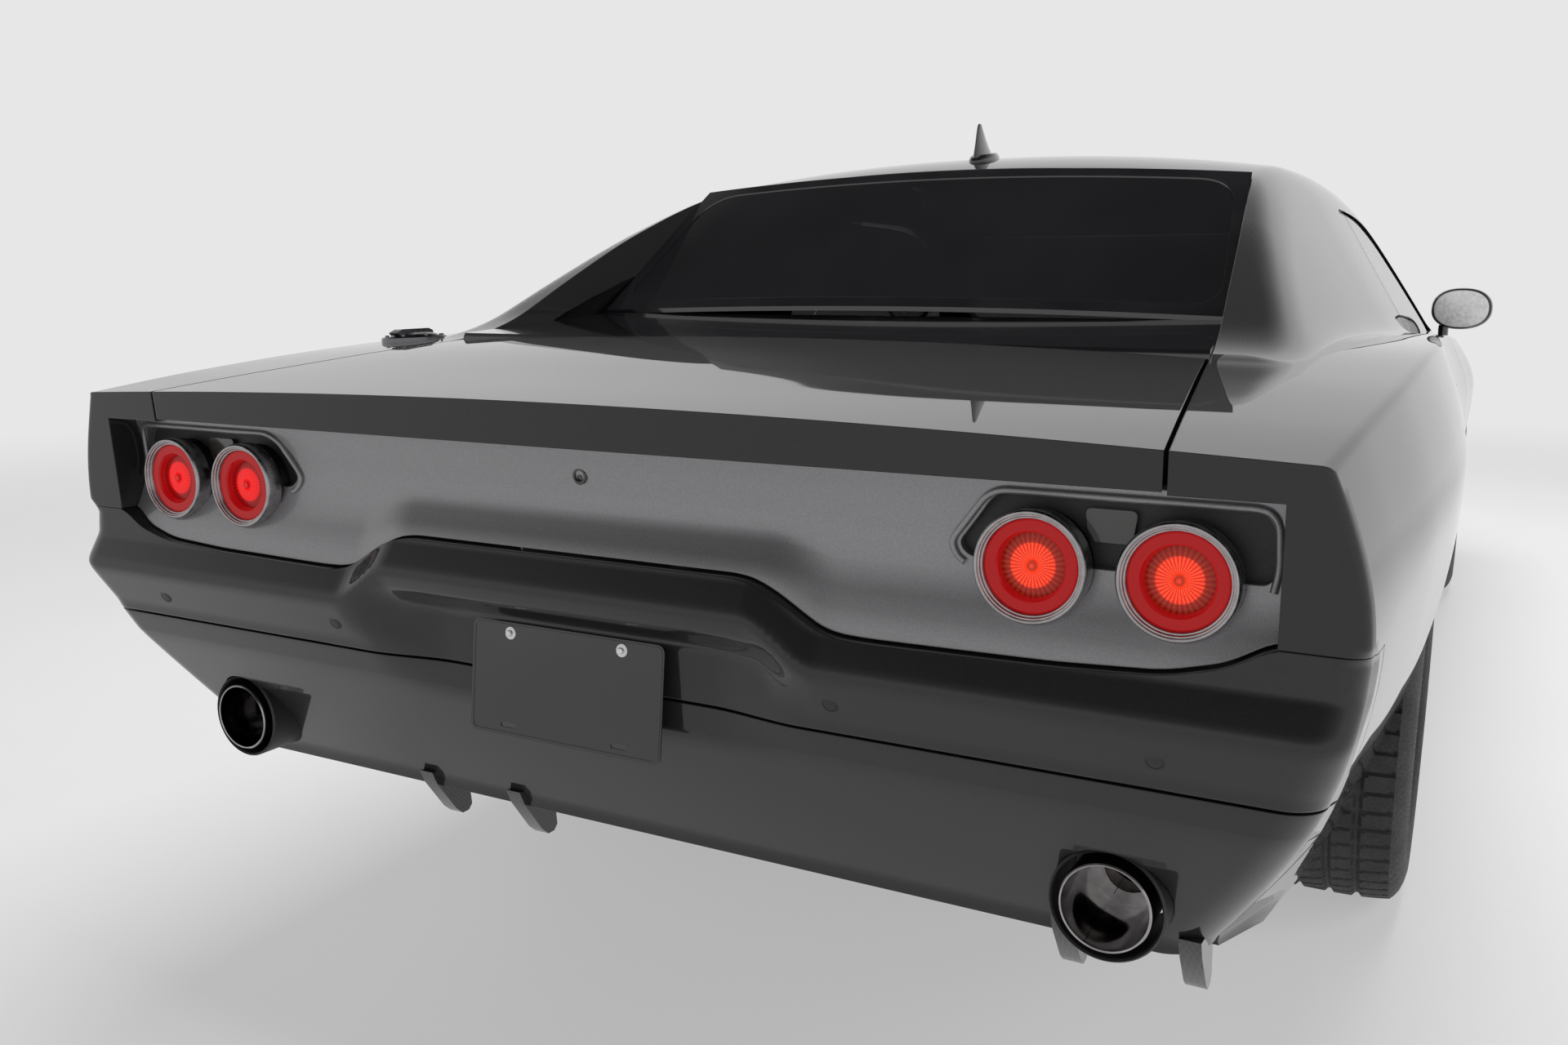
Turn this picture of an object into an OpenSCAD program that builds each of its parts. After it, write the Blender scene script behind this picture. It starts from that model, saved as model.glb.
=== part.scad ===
// Two-door fastback muscle car, in the parked position.
// Millimetres. The origin is on the ground under the middle of the car. The car faces -Y,
// its left side is at +X, and +Z is up.

/* [Body] */
// Overall length, bumper to bumper
body_length = 5280; // [5200:10:5400]
// Widest body width, at the rear hips
body_width = 2000; // [1960:2:2040]
// Height of the roof at its highest point
roof_height = 1452; // [1430:1:1480]
// Width left at each fixed seam between two panels
seam = 0.6; // [0.4:0.1:1]
// Gap around doors and lids
shut_gap = 6; // [5.5:0.5:8]
// Thickness of the hood, decklid and roof with their frames
lid_t = 30; // [24:1:36]
// Thickness of the fender and quarter walls
wall_t = 90; // [70:1:110]

/* [Doors] */
// Front edge of the doors along the car
door_front = -950; // [-980:5:-930]
// Rear edge of the doors along the car
door_rear = 280; // [200:5:320]
// Inner face of the doors from the centre line
door_inner = 800; // [790:1:806]

/* [Wheels] */
// Distance between the axles
wheelbase = 2960; // [2900:5:3020]
// Distance of the rear axle behind the middle of the car
rear_axle_y = 1250; // [1220:5:1280]
// Tyre outer diameter
tyre_d = 716; // [700:2:724]
// Front tyre width
tyre_w_front = 275; // [245:5:285]
// Rear tyre width
tyre_w_rear = 305; // [275:5:315]
// Bead seat diameter of the rims
rim_d = 508; // [482:2:520]
// Radius of the wheel arches
arch_r = 404; // [400:1:416]
// Outer face of the tyres from the centre line
tyre_face = 965; // [955:1:972]

/* [Glass] */
// Thickness of the window glass
glass_t = 5; // [4:0.5:6]
// Slope of the side glass from upright, degrees
glass_lean = 30.4; // [29:0.1:32]

/* [Rear end] */
// Diameter of each tail lamp bezel
lamp_d = 126; // [110:1:134]
// Diameter of the exhaust tips
tip_d = 106; // [90:1:112]
// Width of the licence plate
plate_w = 305; // [300:1:310]
// Height of the licence plate
plate_h = 152; // [150:1:156]

/* [Hidden] */
$fn = 48;

half_l = body_length / 2;
width_scale = body_width / 2000;
front_axle_y = rear_axle_y - wheelbase;
axle_z = tyre_d / 2;
far = 3000;
LEFT = 1;
RIGHT = -1;

// ---- Lower body: a table of cross-sections along the car ----
// Columns of SHELL: y as a share of half the length, then half-width and height of the shoulder
// crease, half-width and height of the widest line, half-width and height of the lower edge,
// and height of the centre line on top.
Y = 0; CREASE_X = 1; CREASE_Z = 2; WIDE_X = 3; WIDE_Z = 4; LOW_X = 5; LOW_Z = 6; TOP_Z = 7;
SHELL = [
    [-1.000, 850,  868, 880, 700, 720, 330,  880],
    [-0.947, 876,  896, 912, 730, 780, 300,  915],
    [-0.850, 892,  930, 945, 760, 835, 265,  958],
    [-0.648, 902,  966, 976, 790, 872, 235, 1002],
    [-0.450, 898,  990, 968, 790, 886, 215, 1022],
    [-0.200, 890, 1012, 958, 780, 892, 205, 1040],
    [ 0.050, 893, 1032, 960, 780, 894, 205, 1052],
    [ 0.250, 912, 1048, 976, 800, 896, 215, 1070],
    [ 0.474, 940, 1054, 998, 830, 890, 260, 1086],
    [ 0.650, 942, 1050, 998, 840, 872, 310, 1086],
    [ 0.800, 932, 1030, 982, 835, 846, 350, 1056],
    [ 0.920, 914, 1004, 960, 815, 812, 376, 1022],
    [ 1.000, 899,  980, 944, 800, 786, 388, 1002]
];
STATION_STEP = 110;

// Greenhouse columns: y, half-width at the belt, height of the roof on the centre line
BELT_X = 1; ROOF_Z = 2;
CABIN = [
    [-1060, 800, roof_height - 452],
    [ -660, 815, roof_height - 234],
    [ -300, 822, roof_height -  66],
    [    0, 823, roof_height -  14],
    [  350, 822, roof_height],
    [  700, 815, roof_height -   2],
    [ 1000, 803, roof_height -  17],
    [ 1250, 792, roof_height -  62],
    [ 1500, 780, roof_height - 150],
    [ 1700, 770, roof_height - 243],
    [ 1900, 758, roof_height - 345],
    [ 2060, 750, roof_height - 420]
];
BELT_Z = 1078;
ROOF_CROWN = 46;

// Slope of a column at row i of a table, and the smooth value of the column at y
function slope(t, i, c) =
    let (a = max(i - 1, 0), b = min(i + 1, len(t) - 1)) (t[b][c] - t[a][c]) / (t[b][0] - t[a][0]);
function row(t, y, i = 0) = (i >= len(t) - 2 || y <= t[i + 1][0]) ? i : row(t, y, i + 1);
function smooth(t, y, c) =
    let (i = row(t, y), h = t[i + 1][0] - t[i][0], s = (y - t[i][0]) / h)
    t[i][c] * (1 + 2 * s) * pow(1 - s, 2) + t[i + 1][c] * s * s * (3 - 2 * s)
    + h * s * (1 - s) * (slope(t, i, c) * (1 - s) - slope(t, i + 1, c) * s);
function shell(y, c) = smooth(SHELL, y / half_l, c) * (c % 2 == 1 && c < TOP_Z ? width_scale : 1);
function cabin(y, c) = smooth(CABIN, y, c);

// Half of a lower body section, drawn inside the skin by `side` and `top`
SIDE_STEPS = 5;
TOP_STEPS = 5;
function lower_half(y, side, top) =
    let (cx = shell(y, CREASE_X) - side, cz = shell(y, CREASE_Z) - top,
         wx = shell(y, WIDE_X) - side, wz = shell(y, WIDE_Z),
         lx = shell(y, LOW_X) - side, lz = shell(y, LOW_Z), tz = shell(y, TOP_Z) - top)
    concat([[0, lz]],
        [for (i = [0:SIDE_STEPS]) let (a = 90 * i / SIDE_STEPS)
            [lx + (wx - lx) * sin(a), lz + (wz - lz) * i / SIDE_STEPS]],
        [for (i = [1:SIDE_STEPS]) let (a = 90 * i / SIDE_STEPS)
            [wx - (wx - cx) * (1 - cos(a)), wz + (cz - wz) * i / SIDE_STEPS]],
        [for (i = [1:TOP_STEPS]) let (s = 1 - i / TOP_STEPS) [cx * s, tz - (tz - cz) * s * s]]);

// Half of a greenhouse section, from below the belt up to the roof's middle
LEAN = tan(glass_lean);
RAIL_STEPS = 4;
RAIL_R = 70;
function cabin_half(y, side, top) =
    let (z0 = 900, zc = cabin(y, ROOF_Z) - top, x0 = cabin(y, BELT_X) - side,
         zr = zc - ROOF_CROWN, xr = x0 - (zr - BELT_Z) * LEAN)
    concat([[0, z0], [x0 - (z0 - BELT_Z) * LEAN, z0]],
        [for (i = [0:RAIL_STEPS]) let (s = i / RAIL_STEPS, r = min(RAIL_R, max(zr - z0 - 20, 1)))
            [xr + r * 0.5 * pow(1 - s, 2) * 1.2 - r * s * s, zr - r * pow(1 - s, 2) + 8 * s * s]],
        [[xr * 0.55, zc - ROOF_CROWN * 0.3], [0, zc]]);

// Whole outline of a half section, standing at y
function ring(half, y) = concat([for (p = half) [p[0], y, p[1]]],
    [for (i = [len(half) - 2:-1:1]) [-half[i][0], y, half[i][1]]]);
function steps(y0, y1) = let (n = ceil((y1 - y0) / STATION_STEP)) [for (i = [0:n]) y0 + (y1 - y0) * i / n];

// One stretch of body between two rings
module stretch(a, b) {
    points = concat(a, b);
    hull() polyhedron(points, [for (i = [0:len(points) - 3]) [i, i + 1, i + 2]]);
}
module lower_loft(y0, y1, side = 0, top = 0) {
    ys = steps(y0, y1);
    for (i = [0:len(ys) - 2])
        stretch(ring(lower_half(ys[i], side, top), ys[i]), ring(lower_half(ys[i + 1], side, top), ys[i + 1]));
}
module cabin_loft(y0, y1, side = 0, top = 0) {
    ys = steps(y0, y1);
    for (i = [0:len(ys) - 2])
        stretch(ring(cabin_half(ys[i], side, top), ys[i]), ring(cabin_half(ys[i + 1], side, top), ys[i + 1]));
}

// ---- Helpers: a block between two corners, and a side-view or plan outline made solid ----
module block(a, b) { translate(a) cube(b - a); }
module across(points, x0, x1) {
    translate([x0, 0, 0]) rotate([90, 0, 90]) linear_extrude(x1 - x0) polygon(points);
}
module upward(points, z0, z1) { translate([0, 0, z0]) linear_extrude(z1 - z0) polygon(points); }
module along_x(r, x0, x1) { translate([x0, 0, 0]) rotate([0, 90, 0]) cylinder(r = r, h = x1 - x0); }
module along_y(r, y0, y1) { translate([0, y0, 0]) rotate([-90, 0, 0]) cylinder(r = r, h = y1 - y0); }
module side_of(s) { mirror([s < 0 ? 1 : 0, 0, 0]) children(); }
module both() { for (s = [LEFT, RIGHT]) side_of(s) children(); }
module arch_cut(y, r) {
    translate([0, y, axle_z + 6]) along_x(r, 500, far, $fn = 64);
    block([500, y - r, 0], [far, y + r, axle_z + 6]);
}

// ---- Where the panels meet ----
tail_y = half_l;
hood_half = 706;
hood_front = -2560;
hood_rear = -1105;
fender_inner = hood_half + shut_gap;
deck_front = 2013;
deck_front_x = 671;
deck_rear_x = 748;
deck_lip_z = 947;
bumper_top = 757;
bumper_split = 636;
bumper_side_y = 2530;
corner_top = 799;
cap_inner = 862;
sill_z = 290;
cowl_z = 1012.7;
firewall_y = -955;
pillar_y = 520;
roof_cut = 1345;
roof_rear = 1250;
glass_foot_y = 1604;
glass_foot_z = 1104;
glass_head_z = 1357;
cabin_x = 790;
panel_y = 2604;

// Tail and nose outlines in side view
TAIL = [
    [0, 100], [2440, 100], [2455, 390], [2598, bumper_split], [tail_y, 714], [2612, bumper_top],
    [panel_y, 790], [2616, 944], [2622, 1010], [2616, 1600], [0, 1600]
];
VALANCE_FOOT = [2400, 392];
valance_slope = (bumper_side_y - VALANCE_FOOT[0]) / (bumper_split - VALANCE_FOOT[1]);
NOSE = [
    [-1500, 100], [-2440, 100], [-2500, 260], [-2600, 450], [-tail_y, 540], [-2618, 619],
    [-2606, 700], [-2600, 1200], [-1500, 1200]
];
// Inner face of the buttresses and of the deck opening, in plan
DECK_SIDE = [[560, 900], [597, roof_rear + 2], [637, glass_foot_y], [deck_front_x + shut_gap, deck_front]];
function deck_plan(d) = concat([for (p = DECK_SIDE) [p[0] - d, p[1]]],
    [for (i = [len(DECK_SIDE) - 1:-1:0]) [d - DECK_SIDE[i][0], DECK_SIDE[i][1]]]);

// ---- Hinges ----
door_pin = [930, door_front + 25];
DOOR_HINGES = [450, 800];
hinge_pin_r = 7;
pin_play = 0.3;
hood_pin = [-1060, 960];
hood_arm_x = 640;
deck_pin = [deck_front - 60, 1026];
deck_r = norm([60, 40]);
deck_arm_x = 560;
arm_r = 96;

// Fixed half of a door hinge: the pin, and its arm to the post behind the fender
module door_hinge_fixed(z) {
    translate([door_pin[0], door_pin[1], z]) {
        cylinder(r = hinge_pin_r, h = 84, center = true);
        rotate([0, 0, 45]) block([-80, -5, -25], [0, 5, 25]);
    }
}
module door_hinge_space(z) {
    translate([door_pin[0], door_pin[1], z]) {
        cylinder(r = hinge_pin_r + pin_play, h = 90, center = true);
        intersection() {
            cylinder(r = 45, h = 60, center = true);
            block([-60, -60, -60], [20, 60, 60]);
        }
    }
}

// ---- Fixed panels ----
module fender(s) {
    color("#0c0c0d") side_of(s) {
        difference() {
            lower_loft(-2600, door_front - shut_gap);
            lower_loft(-2560, door_front - shut_gap - 40, wall_t, lid_t);
            block([-far, -far, 0], [fender_inner, far, far]);
            block([0, -far, 0], [far, -2480, 619]);
            arch_cut(front_axle_y, arch_r);
            translate([door_pin[0], door_pin[1], 0]) cylinder(r = 46, h = far);
        }
        for (z = DOOR_HINGES) door_hinge_fixed(z);
    }
}

module quarter(s) {
    color("#0c0c0d") side_of(s) difference() {
        union() {
            intersection() {
                lower_loft(door_rear + shut_gap + 4, half_l - 1);
                across(TAIL, 0, far);
            }
            intersection() {
                difference() {
                    cabin_loft(pillar_y + seam, 2059);
                    cabin_loft(pillar_y - 10, 2059, 95, 40);
                }
                block([500, pillar_y + seam, 1040], [far, 2050, roof_cut - seam]);
            }
        }
        intersection() {
            lower_loft(door_rear - 10, half_l - 2, wall_t, lid_t);
            block([0, 840, 0], [far, 2520, far]);
        }
        block([-far, -far, 0], [0, far, far]);
        block([-1, 0, 0], [cabin_x, 841, 1000]);
        block([-1, 0, 999], [cabin_x, pillar_y + seam, far]);
        block([-1, 0, 999], [720, 841, 1060]);
        upward(concat([[-1, 0], [560, 0]], DECK_SIDE, [[deck_rear_x + shut_gap, 2625], [deck_rear_x + shut_gap + 2, 2645], [-1, 2645]]), 900, far);
        block([-1, 840, 0], [760, 2700, 930]);
        arch_cut(rear_axle_y, arch_r - 8);
        block([0, 0, 0], [far, rear_axle_y, sill_z]);
        block([0, 2500, 740], [cap_inner + seam, far, 944]);
        block([0, bumper_side_y, 0], [far, far, corner_top + seam]);
        across([[VALANCE_FOOT[0] - VALANCE_FOOT[1] * valance_slope - seam, 0],
            [bumper_side_y - seam, bumper_split], [far, bumper_split], [far, 0]], 0, far);
    }
}

module roof() {
    color("#0c0c0d") difference() {
        cabin_loft(-1050, roof_rear);
        cabin_loft(-1059, roof_rear + 10, 55, 35);
        block([-far, pillar_y, 0], [far, far, roof_cut]);
        block([-far, -far, 0], [far, -800, cowl_z + 0.3]);
        block([-far, -801, 0], [far, far, 1070]);
        intersection() {
            lower_loft(-1100, door_front - shut_gap + seam, 0, -0.3);
            both() block([fender_inner - seam, -1100, 0], [far, 0, far]);
        }
        both() block([door_inner - 8, -far, 0], [far, 0, 1078]);
        windshield_space(0);
        both() side_window_space(0);
    }
}

// Windshield and side window openings, made smaller all round by `d`
module windshield_space(d) {
    translate([0, -200, 0]) rotate([90, 0, 0]) linear_extrude(900)
        polygon([[d - 700, cowl_z + d], [700 - d, cowl_z + d], [735 - d, 1056], [588 - d, 1318 - d],
            [d - 588, 1318 - d], [d - 735, 1056]]);
}
module side_window_space(d) {
    across([[d * 2 - 828, 1020], [d * 2 - 745, 1078], [d - 470, 1222 - d], [d - 330, 1283 - d],
        [-100, 1337 - d], [pillar_y - 70, 1338 - d], [pillar_y - d, 1290 - d / 2], [pillar_y - d, 1020]],
        560, far);
}

module deck_filler() {
    color("#0c0c0d") {
        difference() {
            intersection() {
                upward(deck_plan(seam), 900, 1200);
                across([[glass_foot_y + 8, 1064], [glass_foot_y + 8, 1100], [1800, 1078],
                    [deck_front, 1061], [deck_front, 1020]], -700, 700);
            }
            translate([0, deck_pin[0], deck_pin[1]]) difference() {
                block([-750, 0, -100], [750, 100, 100]);
                along_x(deck_r - shut_gap, -760, 760);
            }
            block([-750, 1700, 1000], [750, 2100, 1044]);
        }
        both() {
            block([deck_arm_x + 8, deck_pin[0] - 12, deck_pin[1] - 12],
                [deck_arm_x + 16, deck_pin[0] + 12, 1045]);
            translate([0, deck_pin[0], deck_pin[1]]) along_x(6, deck_arm_x - 10, deck_arm_x + 10);
        }
    }
}

module hood() {
    color("#0c0c0d") {
        intersection() {
            difference() {
                lower_loft(-half_l + 1, -1000);
                lower_loft(-half_l + 1, -1000, 0, lid_t);
            }
            block([-hood_half, hood_front, 700], [hood_half, hood_rear, 1200]);
        }
        both() difference() {
            union() {
                translate([0, hood_pin[0], hood_pin[1]]) along_x(17, hood_arm_x - 6, hood_arm_x + 6);
                across([[-1150, 960], [-1150, 990], [-1112, 1000], [hood_pin[0] + 4, hood_pin[1] + 16],
                    [hood_pin[0], hood_pin[1] - 16], [-1100, 946]], hood_arm_x - 6, hood_arm_x + 6);
            }
            translate([0, hood_pin[0], hood_pin[1]]) along_x(8 + pin_play, hood_arm_x - 9, hood_arm_x + 9);
        }
    }
}

module decklid() {
    color("#0c0c0d") {
        difference() {
            intersection() {
                lower_loft(1900, half_l - 1);
                upward([[-deck_front_x, deck_front], [deck_front_x, deck_front], [deck_rear_x, 2625],
                    [-deck_rear_x, 2625]], deck_lip_z, 1200);
                across(TAIL, -far, far);
            }
            intersection() {
                lower_loft(1900, half_l - 1, 0, lid_t);
                block([-far, 0, 0], [far, 2590, far]);
            }
            translate([0, deck_pin[0], deck_pin[1]]) along_x(deck_r, -760, 760);
        }
        both() translate([deck_arm_x, deck_pin[0], deck_pin[1]]) rotate([0, -90, 0]) {
            // a gooseneck: out from the pin, then round outside the filler's edge to the lid
            difference() {
                union() {
                    translate([-arm_r, -8, -6]) cube([arm_r, 16, 12]);
                    translate([0, 0, -6]) cylinder(r = 13, h = 12);
                    translate([0, 0, -6]) rotate([0, 0, 90]) intersection() {
                        difference() {
                            cylinder(r = arm_r + 8, h = 12);
                            translate([0, 0, -1]) cylinder(r = arm_r - 8, h = 14);
                        }
                        translate([0, 0, -1]) linear_extrude(14)
                            polygon([[0, 0], [0, 200], [-8, 200], [200, 200], [200, -30], [40, -8]]);
                    }
                }
                cylinder(r = 6 + pin_play, h = 40, center = true);
            }
        }
    }
}

module door(s) {
    color("#0c0c0d") side_of(s) difference() {
        lower_loft(door_front - 60, door_rear + 60);
        block([-far, -far, 0], [door_inner, far, far]);
        block([0, -far, 0], [far, far, sill_z + 8]);
        block([0, -far, 0], [far, door_front, far]);
        upward([[door_inner - 1, door_rear - 22], [990, door_rear], [far, door_rear], [far, far],
            [door_inner - 1, far]], 0, far);
        for (z = DOOR_HINGES) door_hinge_space(z);
    }
}

// ---- Glass: skins of the greenhouse, set inside its outer face ----
glass_set = 8;
module glass_skin(y0, y1, over = 0) {
    difference() {
        cabin_loft(y0, y1, glass_set, glass_set + over);
        cabin_loft(y0 - 1, y1 + 1, glass_set + glass_t, glass_set + glass_t + over);
    }
}
module side_glass(y0, y1, d) {
    difference() {
        intersection() {
            glass_skin(-900, 620);
            side_window_space(d);
            block([560, y0, 1000], [far, y1, far]);
        }
        lower_loft(-1000, 640, 0, -0.3);
    }
}
module door_glass(s) { color("#101214") side_of(s) side_glass(-880, door_rear - 4, 7); }
module quarter_glass() { color("#101214") both() side_glass(door_rear + 4, pillar_y, seam); }
module windshield() {
    color("#101214") intersection() {
        glass_skin(-1050, -250, 2);
        windshield_space(seam);
        block([-far, -1022, 0], [far, 0, far]);
    }
}
// Arched outline of the rear glass at y, with its middle `rise` above its edges
function arch_line(y, half, z, rise) = [for (i = [-6:6]) [half * i / 6, y, z + rise * (1 - i * i / 36)]];
module glass_arch(drop, past) {
    hull() {
        for (r = [[roof_rear + 2 - past, glass_head_z, 30], [glass_foot_y + past, glass_foot_z, 12]])
            for (p = arch_line(r[0], 640, r[1] - drop - (r[0] < 1400 ? -past : past) * 0.72, r[2]))
                translate(p) cube([0.01, 0.01, 0.01]);
    }
}
module rear_window() {
    color("#060607") intersection() {
        difference() {
            glass_arch(0, 0);
            glass_arch(glass_t * 1.23, 20);
        }
        upward(deck_plan(seam), 900, 1500);
    }
}

// ---- Floor, firewall, cowl and boot floor ----
module floor_pan() {
    color("#1c1d1f") difference() {
        union() {
            block([-720, firewall_y - 0.4, 200], [720, 840, 228]);
            block([-620, 839, 200], [620, 1030, 228]);
            block([-130, -960, 200], [130, 1030, 430]);
            block([-fender_inner + seam, -1000, 200], [fender_inner - seam, firewall_y, 960]);
            across([[-1098, 900], [-1098, 962], [-1040, 962], [-1030, cowl_z], [-905, cowl_z], [-905, 1000],
                [firewall_y, 985], [firewall_y, 900]], -fender_inner + seam, fender_inner - seam);
            block([-560, 1000, 228], [560, 1030, 480]);
            block([-560, 1000, 450], [560, 2425, 480]);
            both() {
                block([690, -949, 205], [880, 838, sill_z]);
                block([420, -2300, 380], [480, -1000, 470]);
                block([500, 2100, 440], [560, 2425, 480]);
            }
        }
        block([-105, -1100, 150], [105, 1100, 405]);
        both() block([hood_arm_x - 12, -1110, 930], [hood_arm_x + 12, hood_pin[0] + 26, 1100]);
    }
    color("#1c1d1f") both() translate([0, hood_pin[0], hood_pin[1]])
        along_x(8, hood_arm_x - 14, hood_arm_x + 14);
}

// ---- Tail ----
lamp_gap = 77;
lamp_mid = 684;
LAMP_X = [lamp_mid - lamp_gap, lamp_mid + lamp_gap];
lamp_z = 852;
module at_lamps() {
    for (s = [LEFT, RIGHT], x = LAMP_X) translate([s * x, 0, lamp_z]) children();
}
// Side view of the hollowed grey panel, and the hump that the bumper makes in its middle
PANEL = [
    [2530, 745], [2600, 745], [2603, 762], [2586, 790], [2568, 820], [2559, 860], [2561, 900],
    [2572, 942], [2530, 942]
];
HUMP = [[-376, 700], [-376, bumper_top], [-276, 806], [276, 806], [376, bumper_top], [376, 700]];
lamp_front = 2592;
bezel_back = 2566;
housing_r = 58;
lens_r = 49.7;
module hump(y0, y1, grow = 0) {
    translate([0, y1, grow]) rotate([90, 0, 0]) linear_extrude(y1 - y0) polygon(HUMP);
}
module tail_panel() {
    color("#2c2d30") difference() {
        across(PANEL, -cap_inner, cap_inner);
        hump(2400, far, seam);
        at_lamps() {
            along_y(housing_r + seam, 0, far);
            along_y(lamp_d / 2 + seam, bezel_back - seam, far);
        }
    }
}
module tail_lamps() {
    color("#3a3a3d") at_lamps() difference() {
        union() {
            along_y(housing_r, 2490, bezel_back + 1);
            along_y(lamp_d / 2, bezel_back, lamp_front);
        }
        along_y(lens_r + pin_play, 2570, far);
    }
}
module tail_lenses() { color("#c01010") at_lamps() along_y(lens_r, 2570.3, lamp_front - 8); }
module rear_bumper() {
    color("#101011") {
        difference() {
            lower_loft(2400, half_l - 1);
            difference() {
                block([-far, 0, 0], [far, far, far]);
                across(TAIL, -far, far);
            }
            block([-far, 0, 0], [far, bumper_side_y + seam, far]);
            block([-far, 0, 0], [far, far, bumper_split]);
            block([-far, 0, corner_top], [far, far, far]);
            block([-cap_inner - seam, 0, bumper_top - 12 - seam], [cap_inner + seam, panel_y + seam, far]);
            block([-cap_inner - seam, 0, bumper_top], [cap_inner + seam, far, far]);
            block([-820, 0, 0], [820, 2575, 900]);
            block([-195, 2588, 0], [195, far, 722]);
        }
        at_plate() block([-60, -21, 15], [60, -1.3, 60]);
        difference() {
            hump(2580, 2616);
            block([-far, 0, 0], [far, far, bumper_top - 2]);
        }
    }
}
module rear_valance() {
    color("#101011") difference() {
        intersection() {
            lower_loft(2390, half_l - 1);
            across([VALANCE_FOOT, [2455, 392], [2598, bumper_split - seam],
                [bumper_side_y, bumper_split - seam]], -far, far);
        }
        both() translate([tip_x, 0, tip_z]) along_y(tip_d / 2 + 13, 2300, far);
        block([-195, 2588, 0], [195, far, 722]);
    }
}
plate_z = 633;
plate_y = 2607;
plate_lean = 5.7;
plate_screws = 178;
module at_plate() { translate([0, plate_y, plate_z]) rotate([plate_lean, 0, 0]) children(); }
module licence_plate() {
    color("#0a0a0a") at_plate() difference() {
        block([-plate_w / 2, -1, -plate_h / 2], [plate_w / 2, 1, plate_h / 2]);
        both() translate([plate_screws / 2, 0, 62]) along_y(3.5, -20, 20);
    }
}
module fuel_cap() {
    color("#8a8c90") difference() {
        translate([830, 1980, 1030]) cylinder(r = 62, h = 36);
        lower_loft(1850, 2150, 0, -0.3);
    }
}
module antenna_fin() {
    color("#0c0c0d") difference() {
        across([[1010, 1400], [1010, 1438], [1060, 1462], [1092, 1500], [1118, 1456], [1130, 1436],
            [1130, 1400]], -12, 12);
        cabin_loft(950, 1200, 0, -0.3);
    }
}

// ---- Nose ----
module front_bumper() {
    color("#101011") {
        difference() {
            intersection() {
                lower_loft(-half_l + 1, -2300);
                across(NOSE, -far, far);
                block([-far, -far, 200], [far, -2480 - seam, 618.4]);
            }
            block([-780, -2540, 0], [780, 0, 900]);
        }
        // the panel across the nose, ahead of the hood
        difference() {
            intersection() {
                lower_loft(-half_l + 1, -2300);
                across(NOSE, -far, far);
                block([seam - fender_inner, -far, 810], [fender_inner - seam, hood_front - shut_gap, far]);
            }
            block([-680, -2586, 0], [680, far, 850]);
        }
    }
}
module grille() {
    color("#060606") {
        block([-679, -2580, 619], [679, -2548, 809.4]);
        block([-679, -2548.5, 619], [679, -2530, 832]);
        both() block([678, -2560, 619], [fender_inner - seam, -2530, 809.4]);
    }
}

// ---- Wheels ----
hub_r = 32;
module at_wheel(s, y, w) { translate([s * (tyre_face - w / 2), y, axle_z]) side_of(s) children(); }
module tyre(s, y, w) {
    shoulder = 40;
    color("#1a1a1a") at_wheel(s, y, w) rotate([0, 90, 0]) rotate_extrude($fn = 96)
        polygon([[rim_d / 2, 18 - w / 2], [rim_d / 2 + 30, -w / 2], [tyre_d / 2 - shoulder, -w / 2],
            [tyre_d / 2 - 12, 14 - w / 2], [tyre_d / 2, shoulder - w / 2], [tyre_d / 2, w / 2 - shoulder],
            [tyre_d / 2 - 12, w / 2 - 14], [tyre_d / 2 - shoulder, w / 2], [rim_d / 2 + 30, w / 2],
            [rim_d / 2, w / 2 - 18]]);
}
module rim(s, y, w) {
    // x runs outwards from the middle of the wheel
    edge = w / 2 - 16;
    color("#26272a") at_wheel(s, y, w) difference() {
        union() {
            rotate([0, 90, 0]) rotate_extrude($fn = 96) polygon([[rim_d / 2 - 18, -edge],
                [rim_d / 2 - 0.3, -edge], [rim_d / 2 - 0.3, edge], [rim_d / 2 - 18, edge]]);
            along_x(rim_d / 2 - 10, w / 2 - 60, w / 2 - 30);
            along_x(70, -4, w / 2 - 35);
            along_x(180, 10, 38);
        }
        for (i = [0:4])
            rotate([72 * i, 0, 0]) translate([0, 0, 158]) along_x(58, w / 2 - 70, w);
        along_x(hub_r + pin_play, -60, w / 2 - 60);
    }
}

// ---- Knuckles, axles and subframes ----
kingpin_x = 790;
upright_h = 150;
ball_r = 10;
module knuckle(s) {
    cx = tyre_face - tyre_w_front / 2;
    color("#55585c") translate([0, front_axle_y, axle_z]) side_of(s) difference() {
        union() {
            along_x(hub_r, kingpin_x, cx + tyre_w_front / 2 - 66);
            block([kingpin_x - 24, -34, -upright_h], [kingpin_x + 24, 34, upright_h]);
        }
        translate([kingpin_x, 0, 0]) {
            translate([0, 0, -upright_h - 1]) cylinder(r = ball_r + pin_play, h = 26);
            translate([0, 0, upright_h - 25]) cylinder(r = ball_r + pin_play, h = 26);
        }
    }
}
module front_subframe() {
    arm_z = axle_z - upright_h - 6;
    color("#2a2b2d") translate([0, front_axle_y, 0]) {
        block([-470, -70, 186], [470, 70, 232]);
        both() {
            block([300, -24, arm_z - 24], [kingpin_x + 16, 24, arm_z]);
            translate([kingpin_x, 0, arm_z - 1]) cylinder(r = ball_r, h = 26);
            block([421, -60, 231], [479, 60, 379.7]);
            block([200, -60, 231], [260, 60, 319.7]);
        }
    }
    color("#2a2b2d") translate([0, front_axle_y, 0]) both() {
        block([421, -50, 470.3], [479, 50, axle_z + upright_h + 30]);
        block([421, -22, axle_z + upright_h + 6], [kingpin_x + 16, 22, axle_z + upright_h + 30]);
        translate([kingpin_x, 0, axle_z + upright_h - 19]) cylinder(r = ball_r, h = 26);
    }
}
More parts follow.
